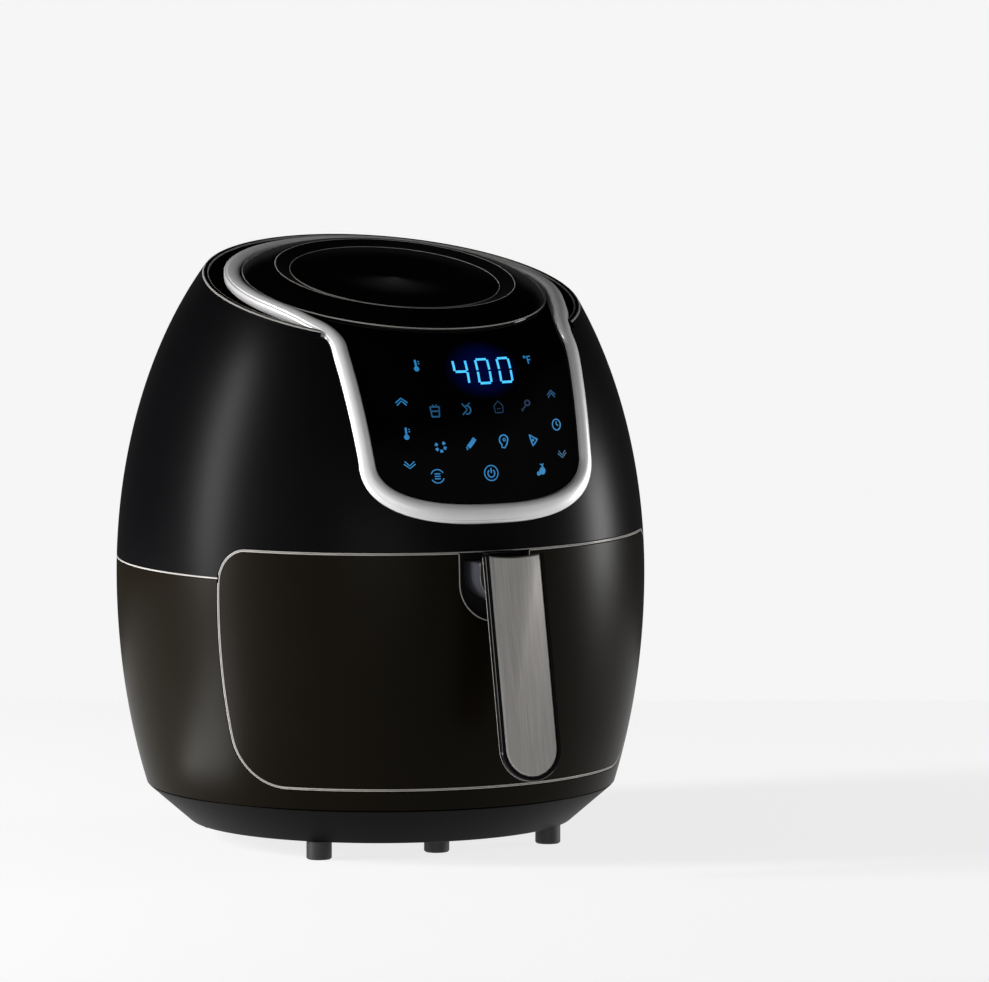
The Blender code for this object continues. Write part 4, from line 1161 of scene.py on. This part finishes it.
# First row and the right-hand arrows are lit less: chips, seafood and the arrows, then oven and drumstick.
dim = key(
    -27.4,
    246.6,
    ([(-3.6, 3.6), (3.6, 3.6)], 1.2),
    ([(-3.0, 0.2), (3.0, 0.2)], 1.2),
    ([(-3.0, -4.0), (3.0, -4.0)], 1.2),
    ([(-3.6, 3.6), (-2.9, -4.0)], 1.0),
    ([(3.6, 3.6), (2.9, -4.0)], 1.0),
    ([(-1.4, 5.2), (-1.0, 3.6)], 0.9),
    ([(1.4, 5.4), (1.0, 3.6)], 0.9),
)
dim += key(
    -10.0,
    247.2,
    (arc(0.4, -0.4, 3.2, -20, 200, 10), 1.2),
    ([(-3.2, 4.6), (0.8, -0.2), (-3.4, -4.0)], 1.0),
    ([(1.4, 3.4), (3.6, 4.8)], 0.9),
)
dim += chevron(45.6, 252.4, 1) + chevron(48.0, 220.6, -1)
piece("display_keys_lower_lit", joined(*dim), ROW_LAMP, "housing")
house = [(-4.0, 1.0), (0, 4.8), (4.0, 1.0), (3.4, -4.2), (-3.4, -4.2)]
faint = key(9.3, 247.6, (house, 0.9, True), ([(-1.6, -1.2), (1.6, -1.2)], 0.8))
faint += key(
    26.8,
    247.6,
    (ring(1.8, 1.8, 2.4, 0.8), 1.4, True),
    ([(0, 0), (-3.2, -2.8)], 1.3),
    (ring(-3.6, -3.2, 0.7, count=8), 1.0, True),
)
piece("display_keys_dim", joined(*faint), DIM_LAMP, "housing")

# ---- Electrics behind the panel and round the fan -------------------------------------------------
# Boards of green glass-epoxy with copper tracks, dark moulded components, and a motor in plated steel.
# They keep the frame's own shapes and get their finishes here.


def finish_node(name, finish, angle=30):
    """Puts a finish on one of the frame's own shapes and smooths its turned faces."""
    mesh = nodes[name].data
    mesh.materials.clear()
    mesh.materials.append(finish)
    mesh.shade_smooth()
    mesh.set_sharp_from_angle(angle=radians(angle))


board, tree, shader = new_material("glass_epoxy_solder_mask_green", Roughness=0.32)
place = add_node(tree, "ShaderNodeTexCoord")
# Real tracks are about 0.3 mm apart. They are drawn 2 mm apart so that they show.
tracks = add_node(
    tree,
    "ShaderNodeTexBrick",
    {
        "Vector": place.outputs["Object"],
        "Color1": srgb("#0E4A2A"),
        "Color2": srgb("#0B3D23"),
        "Mortar": srgb("#1C6A40"),
        "Scale": 1 / (8 * MM),
        "Mortar Size": 0.03,
    },
)
tree.links.new(tracks.outputs["Color"], shader.inputs["Base Color"])
for name in ("control_board", "power_board"):
    finish_node(name, board)

component, tree, shader = new_material("epoxy_moulded_dark", Roughness=0.45)
place = add_node(tree, "ShaderNodeTexCoord")
speck = add_node(
    tree, "ShaderNodeTexNoise", {"Vector": place.outputs["Object"], "Scale": 1500.0, "Detail": 2.0}
)
tone = add_node(
    tree, "ShaderNodeMix", {"Factor": speck.outputs["Fac"], "A": srgb("#0C0C0D"), "B": srgb("#1A1A1C")},
    data_type="RGBA"
)
tree.links.new(tone.outputs["Result"], shader.inputs["Base Color"])
for name in ("display_module", "buzzer", "power_relay", "drawer_switch"):
    finish_node(name, component)


def plated_sheet(name, colour, shade, roughness, spangle_mm):
    """Zinc- or aluminium-coated steel: broad dull crystals in the coating, each a little different in
    tone."""
    made, tree, shader = new_material(name, Metallic=1.0)
    place = add_node(tree, "ShaderNodeTexCoord")
    spangle = add_node(
        tree, "ShaderNodeTexVoronoi", {"Vector": place.outputs["Object"], "Scale": 1 / (spangle_mm * MM)}
    )
    tone = add_node(
        tree, "ShaderNodeMix", {"Factor": spangle.outputs["Color"], "A": srgb(colour), "B": srgb(shade)},
        data_type="RGBA"
    )
    dull = add_node(
        tree,
        "ShaderNodeMapRange",
        {"Value": spangle.outputs["Color"], "To Min": roughness - 0.05, "To Max": roughness + 0.07},
    )
    tree.links.new(tone.outputs["Result"], shader.inputs["Base Color"])
    tree.links.new(dull.outputs["Result"], shader.inputs["Roughness"])
    return made


PLATED = plated_sheet("steel_sheet_aluminised", "#9C9D9E", "#8A8B8D", 0.38, 6.0)
for name in (
    "chamber_liner exhaust_duct motor_bracket fan_motor thermal_cutout heater_guard motor_shaft fan_nut"
    " convection_fan cooling_fan drawer_rail_left drawer_rail_right basket_bracket"
    " base_screw_1 base_screw_2 base_screw_3 base_screw_4"
).split():
    finish_node(name, PLATED)
for name in ("cover_carrier", "drawer_bay", "front_backing"):
    finish_node(name, GRILLE_PLASTIC)

sheath, tree, shader = new_material("incoloy_sheath_heat_browned", Metallic=0.9)
place = add_node(tree, "ShaderNodeTexCoord")
heat = add_node(tree, "ShaderNodeTexNoise", {"Vector": place.outputs["Object"], "Scale": 45.0, "Detail": 5.0})
bloom = add_node(
    tree, "ShaderNodeMix", {"Factor": heat.outputs["Fac"], "A": srgb("#4A4238"), "B": srgb("#2E2A2A")},
    data_type="RGBA"
)
scale = add_node(tree, "ShaderNodeMapRange", {"Value": heat.outputs["Fac"], "To Min": 0.4, "To Max": 0.6})
tree.links.new(bloom.outputs["Result"], shader.inputs["Base Color"])
tree.links.new(scale.outputs["Result"], shader.inputs["Roughness"])
finish_node("heating_element", sheath, 60)

# ---- Back of the housing: outlet grille and cord gland --------------------------------------------
# The outlet grille is a matt ABS louvre panel snapped in flush with the curved wall.
# The gland is a black nylon bush with a flange, and the cord it holds is left out here.


def ring_between(outer_inset, inner_inset, low, high, count=24, sweep=None, sides=ROUND_SIDES):
    heights = steps_between(high, low, count)
    profile = [(shell_radius(z, outer_inset), z) for z in heights]
    profile += [(shell_radius(z, inner_inset), z) for z in heights[::-1]]
    return turned(profile, sides, sweep)


outlet_shape = softened([(-41.8, 174.2), (41.8, 174.2), (41.8, 213.8), (-41.8, 213.8)], 2.5)
louvres = []
for k in range(6):
    low = 178.0 + 5.4 * k
    opening_slot = softened([(-37, low), (37, low), (37, low + 3), (-37, low + 3)], 1.4)
    louvres.append(prism(opening_slot, "Y", 110, 170))
outlet = carved(
    "exhaust_grille_fine",
    ring_between(-0.8, 3.4, 172, 216, 16, (150, 210), 60),
    [("INTERSECT", prism(outlet_shape, "Y", 100, 165)), ("DIFFERENCE", joined(*louvres))],
)
piece("exhaust_grille_fine", outlet, GRILLE_PLASTIC, "housing", ["exhaust_grille"])

gland_profile = [(10.5, 0.0), (10.5, -3.0), (7.0, -3.0), (7.0, -12.0), (3.6, -12.0), (3.6, 0.0)]
gland_place = Matrix.Translation((0, 142.2, 60)) @ Matrix.Rotation(-pi / 2, 4, "X")
gland = moved(turned_soft(gland_profile, 0.8, 64), gland_place)
piece("cord_gland_fine", gland, rubber, "housing", ["cord_gland"])

# ---- Drawer front ---------------------------------------------------------------------------------
# The moulded ABS front follows the body's curve. A round-ended notch takes the arm of the handle, and a
# grey-black textured cup closes the notch behind.

front_cut = prism(front_outline(FRONT_GAP + EDGE_ROUND), "X", -200, 200)
front_shape = carved(
    "drawer_front_fine",
    ring_between(0.0, 3.0, FRONT_BOTTOM - 1, FRONT_TOP + 1, 48, (-76, 76), 96),
    [
        ("INTERSECT", front_cut),
        ("DIFFERENCE", prism(u_outline(NOTCH_HALF_WIDTH + EDGE_ROUND, NOTCH_BOTTOM - EDGE_ROUND, 190), "Y", -170, -100)),
    ],
)


def on_wall(x, z):
    return Vector((x, -sqrt(shell_radius(z) ** 2 - x * x), z))


front_side = front_edge_side(FRONT_GAP)
front_top = FRONT_TOP - FRONT_GAP
notch = []
for x, z in u_outline(NOTCH_HALF_WIDTH, NOTCH_BOTTOM, front_top):
    notch.append(on_wall(x, z))
notch = [on_wall(NOTCH_HALF_WIDTH, z) for z in steps_between(front_top, notch[1].z, 6)[:-1]] + notch[1:-1] + [
    on_wall(-NOTCH_HALF_WIDTH, z) for z in steps_between(notch[1].z, front_top, 6)[1:]
]
top_right = along_wall(notch[0], front_side[-1], 40)
front_loop = [notch[0]] + top_right + front_side[::-1] + along_wall(
    front_side[0], mirrored(front_side)[0], 90
)
front_loop += mirrored(front_side) + [Vector((-p.x, p.y, p.z)) for p in reversed(top_right)] + [notch[-1]]
# The drawer front's rounded edges and the notch's edge carry the painted highlight.
front_lines = joined(edge_line(front_loop, 1), edge_line(notch, -1))
piece("drawer_front_edges", front_lines, PAINTED_HIGHLIGHT_EDGE, "drawer")
front_walls = joined(gap_wall(front_loop, 1, 3.0), gap_wall(notch, -1, 3.0))
piece(
    "drawer_front_fine",
    joined(front_shape, front_walls),
    SATIN_LOWER_WARM_REFLECTION,
    "drawer",
    ["drawer_front"],
    normal_at=wall_normal_if_outside,
)

CUP_PLASTIC = moulded_abs("abs_coarse_textured_black", "#131314", "#1D1D1F", 0.5, 0.8, 0.08)
CUP_DEPTH = 8.0
cup_inside = carved(
    "cup_hollow", ring_between(-8.0, CUP_DEPTH, NOTCH_BOTTOM - 4, FRONT_TOP + 4, 10, (-14, 14), 20), [
        ("INTERSECT", prism(u_outline(NOTCH_HALF_WIDTH - 1.6, NOTCH_BOTTOM + 1.6, 190), "Y", -170, -100))
    ]
)
cup = carved(
    "handle_recess_fine",
    ring_between(1.4, CUP_DEPTH + 2.0, NOTCH_BOTTOM - 2, front_top - 0.2, 20, (-14, 14), 20),
    [
        ("INTERSECT", prism(u_outline(NOTCH_HALF_WIDTH - 0.3, NOTCH_BOTTOM + 0.3, front_top - 0.2), "Y", -170, -100)),
        ("DIFFERENCE", cup_inside),
    ],
)
piece("handle_recess_fine", cup, CUP_PLASTIC, "drawer", ["handle_recess"])

# ---- Pan and basket -------------------------------------------------------------------------------
# Both are drawn steel with a non-stick coating, sprayed on and baked, so the dark film has fine flecks.
# The basket hangs in the pan by its rolled rim, and holes and slots let the hot air through.

NON_STICK, tree, shader = new_material("steel_non_stick_coated", Coat_Weight=0.15, Coat_Roughness=0.3)
place = add_node(tree, "ShaderNodeTexCoord")
fleck = add_node(
    tree, "ShaderNodeTexNoise", {"Vector": place.outputs["Object"], "Scale": 1 / (0.9 * MM), "Detail": 1.0}
)
sparse = add_node(
    tree, "ShaderNodeMapRange", {"Value": fleck.outputs["Fac"], "From Min": 0.66, "From Max": 0.74}
)
coating = add_node(
    tree, "ShaderNodeMix", {"Factor": sparse.outputs["Result"], "A": srgb("#161616"), "B": srgb("#4A4A4A")},
    data_type="RGBA"
)
sheen = add_node(tree, "ShaderNodeMapRange", {"Value": fleck.outputs["Fac"], "To Min": 0.36, "To Max": 0.5})
tree.links.new(coating.outputs["Result"], shader.inputs["Base Color"])
tree.links.new(sheen.outputs["Result"], shader.inputs["Roughness"])

PAN_CENTRE_REACH = 5.0
PAN_FLOOR = 46.0
PAN_TOP = 150.0
BASKET_FLOOR = 57.0
BASKET_TOP = 150.5


def rounded(half_x, half_y, corner, per_corner=5, centre=(0.0, 0.0)):
    """Points round a rectangle with round corners."""
    outline = []
    for turn, (side_x, side_y) in enumerate(((1, 1), (-1, 1), (-1, -1), (1, -1))):
        for k in range(per_corner + 1):
            angle = pi / 2 * (turn + k / per_corner)
            x = centre[0] + side_x * (half_x - corner) + corner * cos(angle)
            outline.append((x, centre[1] + side_y * (half_y - corner) + corner * sin(angle)))
    return outline


def tub(levels, per_corner=16):
    """A rounded-square vessel from (half width, half depth, corner, height) levels, up outside and down
    inside."""
    rings = []
    for half_x, half_y, corner, height in levels:
        outline = rounded(half_x, half_y, corner, per_corner, (0, -PAN_CENTRE_REACH))
        rings.append([(x, y, height) for x, y in outline])
    return lofted(rings)


pan = tub(
    [
        (84, 81, 48, PAN_FLOOR),
        (87.2, 84.2, 51.2, PAN_FLOOR + 0.3),
        (90.2, 87.2, 54, PAN_FLOOR + 1.5),
        (92.2, 89.2, 55.4, PAN_FLOOR + 3.2),
        (93.2, 90.2, 56.2, PAN_FLOOR + 5.5),
        (101, 98, 64, PAN_TOP - 1.6),
        (102.9, 99.9, 65.6, PAN_TOP - 1.5),
        (103.5, 100.5, 66, PAN_TOP - 0.8),
        (103.1, 100.1, 65.8, PAN_TOP - 0.1),
        (102.4, 99.4, 65, PAN_TOP),
        (100.4, 97.4, 63.2, PAN_TOP),
        (99.6, 96.6, 62.6, PAN_TOP - 0.7),
        (91.8, 88.8, 54.8, PAN_FLOOR + 6.0),
        (90.6, 87.6, 54.0, PAN_FLOOR + 3.4),
        (88.4, 85.4, 52.0, PAN_FLOOR + 2.0),
        (85, 82, 49, PAN_FLOOR + 1.5),
    ]
)
piece("drawer_pan_fine", pan, NON_STICK, "drawer", ["drawer_pan"], smooth_angle=60)

basket = tub(
    [
        (78, 76, 44, BASKET_FLOOR),
        (81.2, 79.2, 47.4, BASKET_FLOOR + 0.4),
        (83.9, 81.9, 49.4, BASKET_FLOOR + 1.8),
        (85.4, 83.4, 50.6, BASKET_FLOOR + 3.6),
        (86.2, 84.2, 51.2, BASKET_FLOOR + 6),
        (94, 91, 58, BASKET_TOP - 1.2),
        (97.0, 94.0, 60.6, BASKET_TOP - 1.1),
        (97.5, 94.5, 61, BASKET_TOP - 0.6),
        (97.1, 94.1, 60.8, BASKET_TOP - 0.1),
        (96.4, 93.4, 60, BASKET_TOP),
        (93.6, 90.6, 57.6, BASKET_TOP),
        (92.8, 89.8, 56.8, BASKET_TOP - 0.6),
        (85.1, 83.1, 50.1, BASKET_FLOOR + 6.2),
        (84.2, 82.2, 49.4, BASKET_FLOOR + 3.9),
        (82.5, 80.5, 48.0, BASKET_FLOOR + 2.2),
        (79, 77, 45, BASKET_FLOOR + 1.2),
    ]
)
holes = []
for radius, count in ((20.0, 6), (46.0, 12)):
    for k in range(count):
        angle = 2 * pi * k / count
        hole = turned([(0, 60), (5.0, 60), (5.0, 50), (0, 50)], 28)
        holes.append(
            moved(hole, Matrix.Translation((radius * sin(angle), -PAN_CENTRE_REACH - radius * cos(angle), 0)))
        )
for side in (-1, 1):
    for k in range(5):
        slot = rounded(3.2, 16.0, 3.2, 8, (20 * k - 40 - PAN_CENTRE_REACH, 108))
        holes.append(prism(slot, "X", min(side * 75, side * 110), max(side * 75, side * 110)))
basket = carved("basket_fine", basket, [("DIFFERENCE", joined(*holes))])
piece("basket_fine", basket, NON_STICK, "drawer", ["basket"], smooth_angle=60)

# ---- Handle ---------------------------------------------------------------------------------------
# A gloss ABS grip on a matt arm, faced with a brushed stainless plate let into it. The plate's long grain
# runs down the grip, and its cut edge is chamfered bright.

HANDLE_TOP_REACH = 167.44
HANDLE_TOP_HEIGHT = 172.6
HANDLE_LEAN = radians(11.6)
HANDLE_LENGTH = 121.5
HANDLE_HALF_WIDTH = 17.4
HANDLE_DEPTH = 16.0
HANDLE_TOP_SAG = 1.2
PLATE_INSET = 2.3
PLATE_DEPTH = 1.4
ARM_HALF_WIDTH = 15.2
ARM_BOTTOM = 145.0
ARM_TOP = 167.0
BUTTON_REACH = 150.8


def handle_matrix():
    """Frame of the handle: X across, -Z down along the grip, -Y out of its front face."""
    top = Matrix.Translation((0, -HANDLE_TOP_REACH, HANDLE_TOP_HEIGHT))
    return top @ Matrix.Rotation(-HANDLE_LEAN, 4, "X")


def grip_ring(inset, depth, top_inset):
    """Outline of the grip at a depth: a dipped top edge, straight sides and a half-round foot."""
    half = HANDLE_HALF_WIDTH - inset
    centre = -(HANDLE_LENGTH - HANDLE_HALF_WIDTH)
    outline = []
    for angle in steps_between(0, pi, 36):
        outline.append((half * cos(angle), depth, centre - half * sin(angle)))
    outline += [(-half, depth, -top_inset - 0.8)]
    for across in steps_between(-0.97, 0.97, 16):
        outline.append((half * across, depth, -top_inset - HANDLE_TOP_SAG * (1 - across * across)))
    return outline + [(half, depth, -top_inset - 0.8)]


# The grip is straight-sided near its face and tapers behind, so that fingers close round it.
grip_levels = [(0.7, 0.0), (0.2, 0.12), (0.0, 0.5), (0.0, 3.7), (0.15, 4.3), (0.7, 5.1)]
grip_levels += [(7.4, HANDLE_DEPTH - 1.4), (8.2, HANDLE_DEPTH - 0.5), (9.4, HANDLE_DEPTH)]
grip = lofted([grip_ring(inset, depth, 0) for inset, depth in grip_levels])
seat = lofted([grip_ring(PLATE_INSET - 0.25, depth, -4.0) for depth in (-5, PLATE_DEPTH + 0.3)])
grip = carved(
    "handle_grip_fine",
    moved(grip, handle_matrix()),
    [
        ("DIFFERENCE", moved(seat, handle_matrix())),
        ("DIFFERENCE", block((-30, -156.9, ARM_BOTTOM - 2), (30, -140, 200))),
        ("DIFFERENCE", block((-30, -165.8, ARM_TOP), (30, -140, 200))),
    ],
)
piece("handle_grip_fine", grip, GLOSS_BLACK, "drawer", ["handle_grip"], smooth_angle=30)
# A painted highlight line follows the grip's sides and round foot.
side_line = [grip_ring(inset, depth, 0)[:38] for inset, depth in ((-0.02, 3.5), (0.02, 4.0), (0.3, 4.55))]
side_line = lofted([list(ring) for ring in zip(*side_line)], open_section=True)
piece("handle_grip_edge", moved(side_line, handle_matrix()), PAINTED_HIGHLIGHT_EDGE, "drawer")

BRUSHED, tree, shader = new_material("stainless_brushed_lengthwise", Metallic=1.0)
place = add_node(tree, "ShaderNodeTexCoord")
# Real grain is about 0.1 mm wide. It is drawn 0.4 mm wide and many times longer.
stretch = add_node(
    tree, "ShaderNodeMapping", {"Vector": place.outputs["Object"], "Scale": (2500.0, 200.0, 22.0)}
)
grain = add_node(
    tree, "ShaderNodeTexNoise", {"Vector": stretch.outputs["Vector"], "Scale": 1.0, "Detail": 4.0}
)
wide = add_node(
    tree, "ShaderNodeMapping", {"Vector": place.outputs["Object"], "Scale": (1100.0, 120.0, 22.0)}
)
streak = add_node(tree, "ShaderNodeTexNoise", {"Vector": wide.outputs["Vector"], "Scale": 1.0, "Detail": 2.0})
mixed = add_node(
    tree, "ShaderNodeMath", {0: grain.outputs["Fac"], 1: streak.outputs["Fac"]}, operation="MULTIPLY_ADD"
)
mixed.inputs[2].default_value = 0.2
tone = add_node(
    tree, "ShaderNodeMapRange", {"Value": mixed.outputs["Value"], "From Min": 0.3, "From Max": 0.65}
)
metal = add_node(
    tree, "ShaderNodeMix", {"Factor": tone.outputs["Result"], "A": srgb("#9E9B98"), "B": srgb("#B3B0AD")},
    data_type="RGBA"
)
rub = add_node(tree, "ShaderNodeMapRange", {"Value": grain.outputs["Fac"], "To Min": 0.44, "To Max": 0.56})
ridge = add_node(
    tree, "ShaderNodeBump", {"Height": grain.outputs["Fac"], "Distance": 0.00002, "Strength": 0.6}
)
tree.links.new(metal.outputs["Result"], shader.inputs["Base Color"])
tree.links.new(rub.outputs["Result"], shader.inputs["Roughness"])
tree.links.new(ridge.outputs["Normal"], shader.inputs["Normal"])
plate_levels = [(0.8, 0.1), (0.0, 0.66), (0.0, PLATE_DEPTH)]
plate = lofted([grip_ring(PLATE_INSET + inset, depth, 0.3 + inset) for inset, depth in plate_levels])
piece(
    "handle_plate_fine", moved(plate, handle_matrix()), BRUSHED, "drawer", ["handle_plate"],
)

arm = prism(softened(u_outline(ARM_HALF_WIDTH, ARM_BOTTOM, ARM_TOP), 1.2), "Y", -156.5, -127.0)
pocket = rounded(6.4, 5.0, 1.6, 6, (0, -BUTTON_REACH))
tongue = block((-12, -130, 155.4), (12, -90, ARM_TOP - 0.05))
arm = carved("handle_arm_fine", arm, [("UNION", tongue), ("DIFFERENCE", prism(pocket, "Z", 158.6, 190))])
# The arm's grey base colour is painted light: it stands in for light falling on the arm's face.
ARM_PAINTED_LIT_GREY = moulded_abs("abs_coarse_textured_painted_lit_grey", "#2B2B30", "#3E3E45", 0.5, 0.8, 0.08)
piece("handle_arm_fine", arm, ARM_PAINTED_LIT_GREY, "drawer", ["handle_arm"])
# A painted highlight line traces the arm's front edge.
arm_line = carved(
    "handle_arm_edge",
    prism(u_outline(ARM_HALF_WIDTH, ARM_BOTTOM, ARM_TOP), "Y", -156.56, -156.2),
    [("DIFFERENCE", prism(u_outline(ARM_HALF_WIDTH - 0.5, ARM_BOTTOM + 0.5, ARM_TOP + 2), "Y", -160, -150))],
)
piece("handle_arm_edge", arm_line, PAINTED_HIGHLIGHT_EDGE, "drawer")

# ---- Release button, spring and guard -------------------------------------------------------------
# A gloss button in a pocket on top of the arm stands on a coil spring, and a smoked polycarbonate guard
# slides over it so that it can't be pressed by chance.

BUTTON_FOOT = 162.6
GUARD_FOOT = 170.6
button = rounded_prism(
    rounded(6.0, 4.6, 1.4, 8, (0, -BUTTON_REACH)), "Z", BUTTON_FOOT, BUTTON_FOOT + 6.9, 0.6
)
piece("release_button_fine", button, GLOSS_BLACK, "release_button", ["release_button"])

guard_outline = [(9.4, 1.6), (-9.4, 1.6), (-9.4, -3.2), (-8.0, -3.2)]
guard_outline += [(-8.0, -0.6), (8.0, -0.6), (8.0, -3.2), (9.4, -3.2)]
guard_outline = softened([(x, z + GUARD_FOOT) for x, z in guard_outline], 0.7, 4)
guard = rounded_prism(guard_outline, "Y", -BUTTON_REACH - 4.6, -BUTTON_REACH + 4.6, 0.3, 2)
smoked, tree, shader = new_material("polycarbonate_smoked", IOR=1.58, Transmission_Weight=0.6)
place = add_node(tree, "ShaderNodeTexCoord")
flow = add_node(
    tree, "ShaderNodeTexNoise", {"Vector": place.outputs["Object"], "Scale": 120.0, "Detail": 2.0}
)
polish = add_node(tree, "ShaderNodeMapRange", {"Value": flow.outputs["Fac"], "To Min": 0.05, "To Max": 0.12})
grey = add_node(
    tree, "ShaderNodeMix", {"Factor": flow.outputs["Fac"], "A": srgb("#151518"), "B": srgb("#1B1B20")},
    data_type="RGBA"
)
tree.links.new(polish.outputs["Result"], shader.inputs["Roughness"])
tree.links.new(grey.outputs["Result"], shader.inputs["Base Color"])
piece("button_guard_fine", guard, smoked, "button_guard", ["button_guard"])
finish_node("button_spring", PLATED, 60)

# ---- Floor, light and camera ----------------------------------------------------------------------
# A pale polished worktop that ends a little behind the body, two tall soft lights beside it and a low wide
# one in front, behind the camera.

CAMERA_AZIMUTH = radians(-26)
CAMERA_ELEVATION = radians(6)
WORKTOP_SIDE = 6.0
WORKTOP_BACK = 0.58
axis = Vector((0, AXIS_Y * MM, 0))
right = Vector((cos(CAMERA_AZIMUTH), sin(CAMERA_AZIMUTH), 0))
towards = Vector((sin(CAMERA_AZIMUTH), -cos(CAMERA_AZIMUTH), 0))
corners = []
for side, depth in ((-1, WORKTOP_SIDE), (1, WORKTOP_SIDE), (1, -WORKTOP_BACK), (-1, -WORKTOP_BACK)):
    corners.append(tuple(axis + right * side * WORKTOP_SIDE + towards * depth))
floor_mesh = bpy.data.meshes.new("worktop")
floor_mesh.from_pydata(corners, [], [(0, 1, 2, 3)])
worktop = bpy.data.objects.new("worktop", floor_mesh)
bpy.context.scene.collection.objects.link(worktop)
quartz, tree, shader = new_material("quartz_worktop_white", IOR=1.012, Emission_Strength=0.79)
shader.inputs["Emission Color"].default_value = srgb("#FFFFFF")
place = add_node(tree, "ShaderNodeTexCoord")
cloud = add_node(tree, "ShaderNodeTexNoise", {"Vector": place.outputs["Object"], "Scale": 5.0, "Detail": 3.0})
pale = add_node(
    tree, "ShaderNodeMix", {"Factor": cloud.outputs["Fac"], "A": srgb("#8E8E8E"), "B": srgb("#888888")},
    data_type="RGBA"
)
polish = add_node(tree, "ShaderNodeMapRange", {"Value": cloud.outputs["Fac"], "To Min": 0.05, "To Max": 0.09})
tree.links.new(pale.outputs["Result"], shader.inputs["Base Color"])
tree.links.new(polish.outputs["Result"], shader.inputs["Roughness"])
floor_mesh.materials.append(quartz)
worktop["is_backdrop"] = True

world = bpy.data.worlds.new("studio")
bpy.context.scene.world = world
world.use_nodes = True
tree = world.node_tree
around = add_node(tree, "ShaderNodeTexCoord")
parts = add_node(tree, "ShaderNodeSeparateXYZ", {"Vector": around.outputs["Generated"]})
height = add_node(
    tree,
    "ShaderNodeMapRange",
    {"Value": parts.outputs["Z"], "From Min": 0.32, "From Max": 0.44, "To Min": 0.5, "To Max": 0.03},
)
# The room behind the body is dark, so its sides stay dark, and the camera alone sees a white wall there.
ahead = add_node(
    tree, "ShaderNodeVectorMath", {0: around.outputs["Generated"], 1: tuple(towards)}, operation="DOT_PRODUCT"
)
front = add_node(
    tree,
    "ShaderNodeMapRange",
    {"Value": ahead.outputs["Value"], "From Min": -0.35, "From Max": 0.35, "To Min": 0.1, "To Max": 1.0},
)
room = add_node(
    tree, "ShaderNodeMath", {0: height.outputs["Result"], 1: front.outputs["Result"]}, operation="MULTIPLY"
)
seen = add_node(tree, "ShaderNodeLightPath")
strength = add_node(
    tree, "ShaderNodeMix", {"Factor": seen.outputs["Is Camera Ray"], "A": room.outputs["Value"], "B": 0.92}
)
background = tree.nodes["Background"]
background.inputs["Color"].default_value = srgb("#FFFFFF")
tree.links.new(strength.outputs["Result"], background.inputs["Strength"])


def soft_light(name, azimuth, height, distance, width, tall, watts):
    """An area light aimed at the middle of the body. Azimuth is in degrees round from the front."""
    lamp_data = bpy.data.lights.new(name, "AREA")
    lamp_data.shape = "RECTANGLE"
    lamp_data.size, lamp_data.size_y = width, tall
    lamp_data.energy = watts
    made = bpy.data.objects.new(name, lamp_data)
    bpy.context.scene.collection.objects.link(made)
    angle = radians(azimuth)
    made.location = axis + Vector((sin(angle) * distance, -cos(angle) * distance, height))
    aim = axis + Vector((0, 0, 0.16)) - made.location
    made.rotation_euler = aim.to_track_quat("-Z", "Y").to_euler()
    made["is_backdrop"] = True
    return made


soft_light("strip_left", -103, 0.5, 1.8, 0.34, 1.5, 62)
soft_light("strip_right", 83, 0.2, 1.8, 0.4, 0.4, 17)
soft_light("front_fill", -26, 0.5, 6.0, 3.2, 1.0, 36)
# A low strip lies on the worktop at the left. It is seen only in the body's own shine.
floor_strip = soft_light("strip_floor_left", -92, 0.003, 0.55, 0.1, 0.7, 3.4)
floor_strip.rotation_euler = (pi, 0.0, radians(-92))
floor_strip.visible_camera = False

CAMERA_DISTANCE = 5.0
camera_data = bpy.data.cameras.new("camera")
camera_data.sensor_width = 36.0
camera_data.lens = 331.5
camera = bpy.data.objects.new("camera", camera_data)
bpy.context.scene.collection.objects.link(camera)
back = towards * cos(CAMERA_ELEVATION) + Vector((0, 0, sin(CAMERA_ELEVATION)))
aim = axis + Vector((0, 0, 0.1905)) + right * 0.0626
camera.location = aim + back * CAMERA_DISTANCE
camera.rotation_euler = back.to_track_quat("Z", "Y").to_euler()
bpy.context.scene.camera = camera
bpy.context.scene.view_settings.view_transform = "Standard"

# ---- Outline --------------------------------------------------------------------------------------
# The outline of the whole as it stands now.

low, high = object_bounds()
